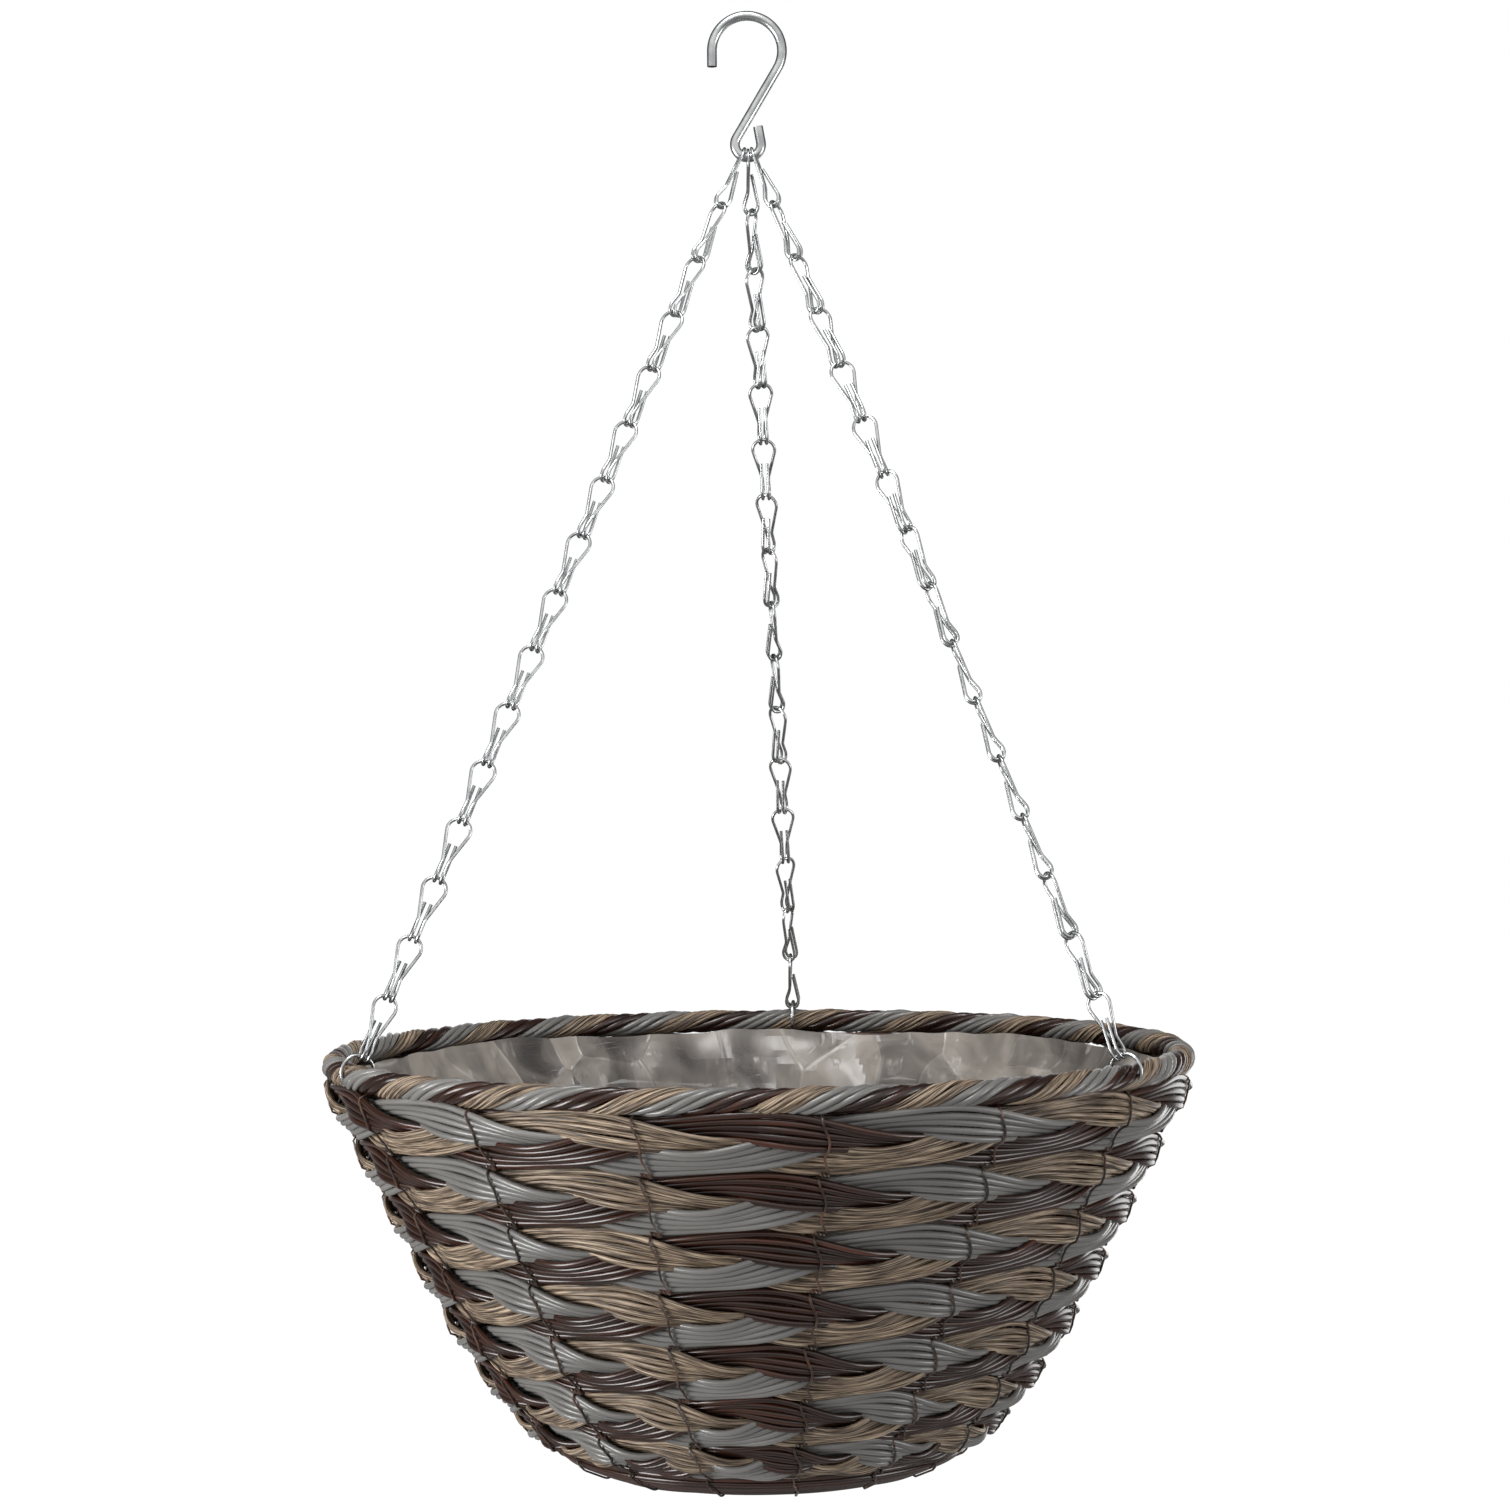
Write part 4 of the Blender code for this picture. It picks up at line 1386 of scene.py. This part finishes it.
@dataclass
class Hook:
    """Bent wire with an open bight above and a small eye below."""

    palette: Palette
    wire_r: float = 2.0 * MM
    roundness: int = 6
    bight_r: float = 14.3 * MM
    eye_depth: float = 50.5 * MM
    tip: float = 6.3 * MM
    tail: float = 6.4 * MM
    eye_lap: float = math.radians(10)
    eye_fan: float = math.radians(42)
    link_r: float = LINK_WIRE_R
    gap: float = GAP
    bend_steps: int = 40
    end_bevel: float = 0.35 * MM
    bevel_steps: int = 3

    def __post_init__(self) -> None:
        """Works out the eye that takes three loops side by side."""
        self.seat = self.wire_r + self.link_r + self.gap
        self.eye_r = self.seat + (2 * self.link_r + self.gap) / math.sin(self.eye_fan)
        self.eye = Vector((0, 0, -self.eye_depth))
        self.bight = Vector((0, 0, self.wire_r - self.bight_r))

    def build(self) -> None:
        """Bends the wire and rounds its two cut ends."""
        cross = math.acos((self.bight_r + self.eye_r) / (self.bight - self.eye).length)
        bight_end = cross - math.pi / 2
        eye_end = TAU + self.eye_lap
        points = self.arc(self.bight, self.bight_r, math.pi, bight_end)
        points.insert(0, points[0] - Vector((0, 0, self.tip)))
        points += self.arc(self.eye, self.eye_r, bight_end + math.pi, eye_end)
        points.append(points[-1] + self.tail * Vector((-math.sin(eye_end), 0, math.cos(eye_end))))
        hook = wire_object("hook_wire", [points], self.wire_r, self.roundness)
        self.ease_ends(hook, (points[0], points[-1]))
        dress(hook, self.palette.zinc, ("hook",), "hanger")

    def arc(self, centre: Vector, radius: float, start: float, end: float) -> list[Vector]:
        """Points along an arc in the XZ plane."""
        turns = [start + (end - start) * i / self.bend_steps for i in range(self.bend_steps + 1)]
        return [centre + Vector((radius * math.cos(a), 0, radius * math.sin(a))) for a in turns]

    def ease_ends(self, hook: bpy.types.Object, ends: tuple[Vector, Vector]) -> None:
        """Bevels the rims of the two cut ends.

        Args:
            hook: The bent wire.
            ends: Middles of its cut ends.
        """
        bpy.ops.object.mode_set(mode="EDIT")
        bpy.ops.mesh.select_mode(type="EDGE")
        bpy.ops.mesh.select_all(action="DESELECT")
        bpy.ops.object.mode_set(mode="OBJECT")
        caps = [face for face in hook.data.polygons if len(face.vertices) > 4
                and min((face.center - end).length for end in ends) < self.wire_r / 2]
        rims = {key for cap in caps for key in cap.edge_keys}
        for edge in hook.data.edges:
            edge.select = edge.key in rims
        bpy.ops.object.mode_set(mode="EDIT")
        bpy.ops.mesh.bevel(offset=self.end_bevel, segments=self.bevel_steps, affect="EDGES")
        bpy.ops.object.mode_set(mode="OBJECT")
        bpy.ops.object.shade_smooth_by_angle(angle=SOFT_EDGE)


@dataclass(frozen=True)
class ChainRun:
    """One chain: where it goes, its side of the eye, and how far its links face round, by link number."""

    name: str
    azimuth: float
    fan: int
    turns: tuple[tuple[int, float], ...]


RUNS = (
    ChainRun("left", 204.5, -1, ((1, 100), (2, 128), (4, 155), (9, 172), (13, 183), (16, 204.5))),
    ChainRun("back", 84.5, 0, ((1, 90), (4, 25), (6, -5), (9, -80), (10, -75), (15, 65), (16, 84.5))),
    ChainRun("right", 324.5, 1, ((1, 82), (4, 30), (6, -15), (10, -85), (13, -85), (16, -35.5))),
)


@dataclass
class Chains:
    """Three chains of sixteen links, each one bent wire with a loop above and two hooks below."""

    palette: Palette
    wall: WallCurve
    hook: Hook
    links: int = 16
    wire_r: float = LINK_WIRE_R
    roundness: int = 3
    pitch: float = 24.88 * MM
    loop_r: float = 4.7 * MM
    loop_corner: float = math.radians(26)
    loop_depth: float = 17.5 * MM
    leg_spread: float = 2.6 * MM
    hook_r: float = 3.05 * MM
    hook_corner: float = math.radians(30)
    tail: float = 16 * MM
    bend_steps: int = 6
    gap: float = GAP
    ring_wire_r: float = 0.75 * MM
    ring_bite: float = 0.70
    ring_standoff: float = 0.8 * MM
    ring_segments: tuple[int, int] = (64, 14)

    def __post_init__(self) -> None:
        """Works out the ring's radius, by rounds that close in on it, and how steeply the chains hang."""
        rounds = 12
        bite = self.wall.rope_r * self.ring_bite
        radius = self.wall.rope_r
        for _ in range(rounds):
            reach = radius - self.wire_r - self.ring_wire_r - self.gap
            drop = radius - math.sqrt(reach ** 2 - (self.leg_spread / 2) ** 2)
            radius = (bite + self.wall.rope_r + self.ring_standoff + self.wire_r + drop) / 2
        lift = radius - bite
        self.ring_r = radius
        self.slope = math.asin(self.wall.rim_r / (self.links * self.pitch + radius + lift))
        self.ring_centre_r = self.wall.rim_r - lift * math.sin(self.slope)
        self.ring_centre_z = self.wall.rim_z + lift * math.cos(self.slope)

    def ring_centre(self, run: ChainRun) -> Vector:
        """Centre of a chain's ring."""
        turn, r = math.radians(run.azimuth), self.ring_centre_r
        return Vector((r * math.cos(turn), r * math.sin(turn), self.ring_centre_z))

    def top_loop(self, run: ChainRun) -> Vector:
        """Seats a chain's first loop in the eye.

        Args:
            run: The chain.

        Returns:
            Top of the loop's wire.
        """
        out = -self.hook.seat * math.sin(self.slope) * math.sin(math.radians(run.azimuth))
        inside = self.hook.eye_r - math.sqrt(self.hook.seat ** 2 - out ** 2)
        fan = run.fan * self.hook.eye_fan
        return self.hook.eye + Vector((inside * math.sin(fan), out, -inside * math.cos(fan)))

    def link_path(self) -> list[Vector]:
        """Bends the wire of a link: tail, hook, leg, loop and the same again mirrored.

        Returns:
            Points of its centreline.
        """
        half_spread = self.leg_spread / 2
        foot = -(self.pitch + 2 * self.wire_r + self.gap)
        neck_y = self.wire_r + self.gap
        corner = self.loop_r / math.cos(self.loop_corner)
        bend_y, bend_z = self.hook_r * math.tan(self.hook_corner), foot + self.hook_r
        half = [Vector((corner * math.sin(a), 0, corner * math.cos(a) - self.loop_r))
                for a in (self.loop_corner, 3 * self.loop_corner)]
        leg = ((neck_y, -self.loop_depth), (self.hook_r, bend_z), (bend_y, foot),
               (-bend_y, foot), (-self.hook_r, bend_z), (-neck_y, foot + self.tail))
        half += [Vector((half_spread, y, z)) for y, z in leg]
        other = [Vector((-p.x, p.y, p.z)) for p in reversed(half)]
        return bent_path(other + half, self.loop_r, self.bend_steps)

    def facing(self, run: ChainRun, number: int) -> float:
        """Angle that a link's loop faces."""
        return math.radians(float(np.interp(number, *zip(*run.turns))))

    def build(self) -> None:
        """Bends one link, copies it along each chain, and adds each chain's ring."""
        link = wire_object("link_pattern", [self.link_path()], self.wire_r, self.roundness)
        for run in RUNS:
            start = self.top_loop(run)
            way = self.ring_centre(run) - start
            pitch = (way.length - self.ring_r) / self.links
            up = -way.normalized()
            for number in range(1, self.links + 1):
                turn = self.facing(run, number)
                across = Vector((math.cos(turn), math.sin(turn), 0))
                across = (across - up * across.dot(up)).normalized()
                place = Matrix((across, up.cross(across), up)).transposed().to_4x4()
                place = Matrix.Translation(start - up * pitch * (number - 1)) @ place
                name = f"{run.name}_chain_link_{number:02d}"
                copy = bpy.data.objects.new(f"{name}_wire", link.data.copy())
                copy.data.name = copy.name
                copy.data.transform(place)
                bpy.context.scene.collection.objects.link(copy)
                dress(copy, self.palette.zinc, (name,))
            self.build_ring(run)
        bpy.data.objects.remove(link)

    def build_ring(self, run: ChainRun) -> None:
        """Makes a chain's ring, which stands on the rim's radius.

        Args:
            run: The chain.
        """
        turn = (math.pi / 2, 0, math.radians(run.azimuth))
        ring = wire_ring(self.ring_centre(run), self.ring_r, self.ring_wire_r, self.ring_segments, turn)
        ring.name = ring.data.name = f"{run.name}_ring_wire"
        bpy.ops.object.shade_smooth()
        dress(ring, self.palette.zinc, (f"{run.name}_ring",), f"{run.name}_rim_ring")


# Studio


@dataclass(frozen=True)
class Lamp:
    """Large round lamp: where it stands, its width and its power in watts."""

    name: str
    place: tuple[float, float, float]
    size: float
    power: float

    def build(self, target: Vector) -> None:
        """Sets the lamp up.

        Args:
            target: What it faces.
        """
        deselect()
        bpy.ops.object.light_add(type="AREA", location=self.place)
        lamp = bpy.context.object
        lamp.name = lamp.data.name = self.name
        lamp.data.shape = "DISK"
        lamp.data.size = self.size
        lamp.data.energy = self.power
        lamp.rotation_euler = (target - Vector(self.place)).to_track_quat("-Z", "Y").to_euler()


@dataclass
class Studio:
    """Plain pale floor, white backdrop, soft light and the photograph's camera.

    Bright metal sees the white backdrop behind and the white front of the studio, and darker walls beside
    the backdrop and below, which draw its edges. The side lamps stand below the rim, so that they don't
    shine on the film inside. Each pair of levels says between which directions the white fades.
    """

    distance: float = 1.29
    eye_z: float = -0.2996
    focal_px: float = 3162
    image_px: float = 1510
    sensor: float = 36
    roll: float = 0.0115
    floor_z: float = -2.2
    sight: tuple[float, float] = (0.01, 100)
    floor_size: float = 60
    floor_colour: str = "#dedede"
    floor_glow: float = 0.94
    floor_white: float = 1.08
    front_levels: tuple[float, float] = (0.15, -0.35)
    back_levels: tuple[float, float] = (0.86, 0.94)
    foot_levels: tuple[float, float] = (-0.3, 0.05)
    dark_side: float = 0.12
    dark_foot: float = 0.05
    world_level: float = 0.33
    lit_z: float = -0.4
    lamps: tuple[Lamp, ...] = (
        Lamp("key_light", (-1.2, -0.65, -0.52), 0.65, 17.0),
        Lamp("fill_light", (1.3, -0.5, -0.45), 0.7, 6.6),
        Lamp("top_light", (-0.2, -0.7, 1.05), 0.7, 17.0),
        Lamp("back_light", (0.9, 1.1, -0.6), 0.8, 3.5),
    )

    def build(self) -> None:
        """Sets up the camera, the floor, the world and the lamps."""
        bpy.context.scene.view_settings.view_transform = "Standard"
        self.camera()
        self.floor()
        self.world()
        for lamp in self.lamps:
            lamp.build(Vector((0, 0, self.lit_z)))

    def camera(self) -> None:
        """Camera level with the middle of the chains, a little turned about its own axis."""
        deselect()
        bpy.ops.object.camera_add(location=(0, -self.distance, self.eye_z),
                                  rotation=(math.pi / 2, self.roll, 0))
        camera = bpy.context.object
        camera.data.sensor_width = self.sensor
        camera.data.lens = self.sensor * self.focal_px / self.image_px
        camera.data.clip_start, camera.data.clip_end = self.sight
        bpy.context.scene.camera = camera

    @staticmethod
    def seen(tree: bpy.types.NodeTree, path: bpy.types.Node) -> bpy.types.Node:
        """Adds the test of whether the camera sees a surface, straight or through something clear."""
        return add_node(tree, "Math", {"operation": "MAXIMUM"},
                        {0: (path, "Is Camera Ray"), 1: (path, "Is Transmission Ray")})

    def floor(self) -> None:
        """Wide floor below the planter, pale to the camera and keeping its shadows."""
        deselect()
        bpy.ops.mesh.primitive_plane_add(size=self.floor_size, location=(0, 0, self.floor_z))
        floor = bpy.context.object
        floor.name = floor.data.name = "studio_floor"
        settle(floor)
        material = bpy.data.materials.new("matt_white_floor")
        material.use_nodes = True
        tree = material.node_tree
        tree.nodes.clear()
        paint = add_node(tree, "BsdfDiffuse", {"Color": linear(self.floor_colour)})
        glow = add_node(tree, "Emission", {"Strength": self.floor_white})
        seen = self.seen(tree, add_node(tree, "LightPath"))
        share = add_node(tree, "Math", {"operation": "MULTIPLY", 1: self.floor_glow}, {0: seen})
        mix = add_node(tree, "MixShader", {}, {0: share, 1: paint, 2: glow})
        add_node(tree, "OutputMaterial", {}, {"Surface": mix})
        floor.data.materials.append(material)

    def world(self) -> None:
        """White backdrop with an even soft light, and dark sides of a studio for bright metal to show."""
        world = bpy.data.worlds.new("studio")
        bpy.context.scene.world = world
        world.use_nodes = True
        tree = world.node_tree
        tree.nodes.clear()
        ways = add_node(tree, "SeparateXYZ", {}, {0: (add_node(tree, "TexCoord"), "Generated")})
        fades = []
        for (low, high), dark, way in ((self.front_levels, self.dark_side, "Y"),
                                       (self.back_levels, 0.0, "Y"),
                                       (self.foot_levels, self.dark_foot, "Z")):
            fades.append(add_node(tree, "MapRange", {"From Min": low, "From Max": high, "To Min": dark},
                                  {"Value": (ways, way)}))
        across = add_node(tree, "Math", {"operation": "MAXIMUM"}, {0: fades[0], 1: fades[1]})
        level = add_node(tree, "Math", {"operation": "MULTIPLY"}, {0: across, 1: fades[2]})
        path = add_node(tree, "LightPath")
        even = add_node(tree, "Background", {"Color": linear(WHITE), "Strength": self.world_level})
        white = add_node(tree, "Background", {"Color": linear(WHITE), "Strength": 1.0})
        mirror = add_node(tree, "Background", {"Color": linear(WHITE)}, {"Strength": level})
        unseen = add_node(tree, "MixShader", {}, {0: (path, "Is Glossy Ray"), 1: even, 2: mirror})
        whole = add_node(tree, "MixShader", {}, {0: self.seen(tree, path), 1: unseen, 2: white})
        add_node(tree, "OutputWorld", {}, {"Surface": whole})


def main() -> None:
    """Builds the planter piece by piece."""
    logging.basicConfig(level=logging.INFO, format="%(name)s: %(message)s")
    Studio().build()
    palette = Palette()
    wall = WallCurve()
    plaits = PlaitWall(palette, wall)
    hook = Hook(palette)
    for part in (plaits, TieWires(palette, wall, plaits), RimRope(palette, wall), Base(palette),
                 WireFrame(palette, wall), Liner(palette, wall), hook, Chains(palette, wall, hook)):
        part.build()


if __name__ == "__main__":
    main()
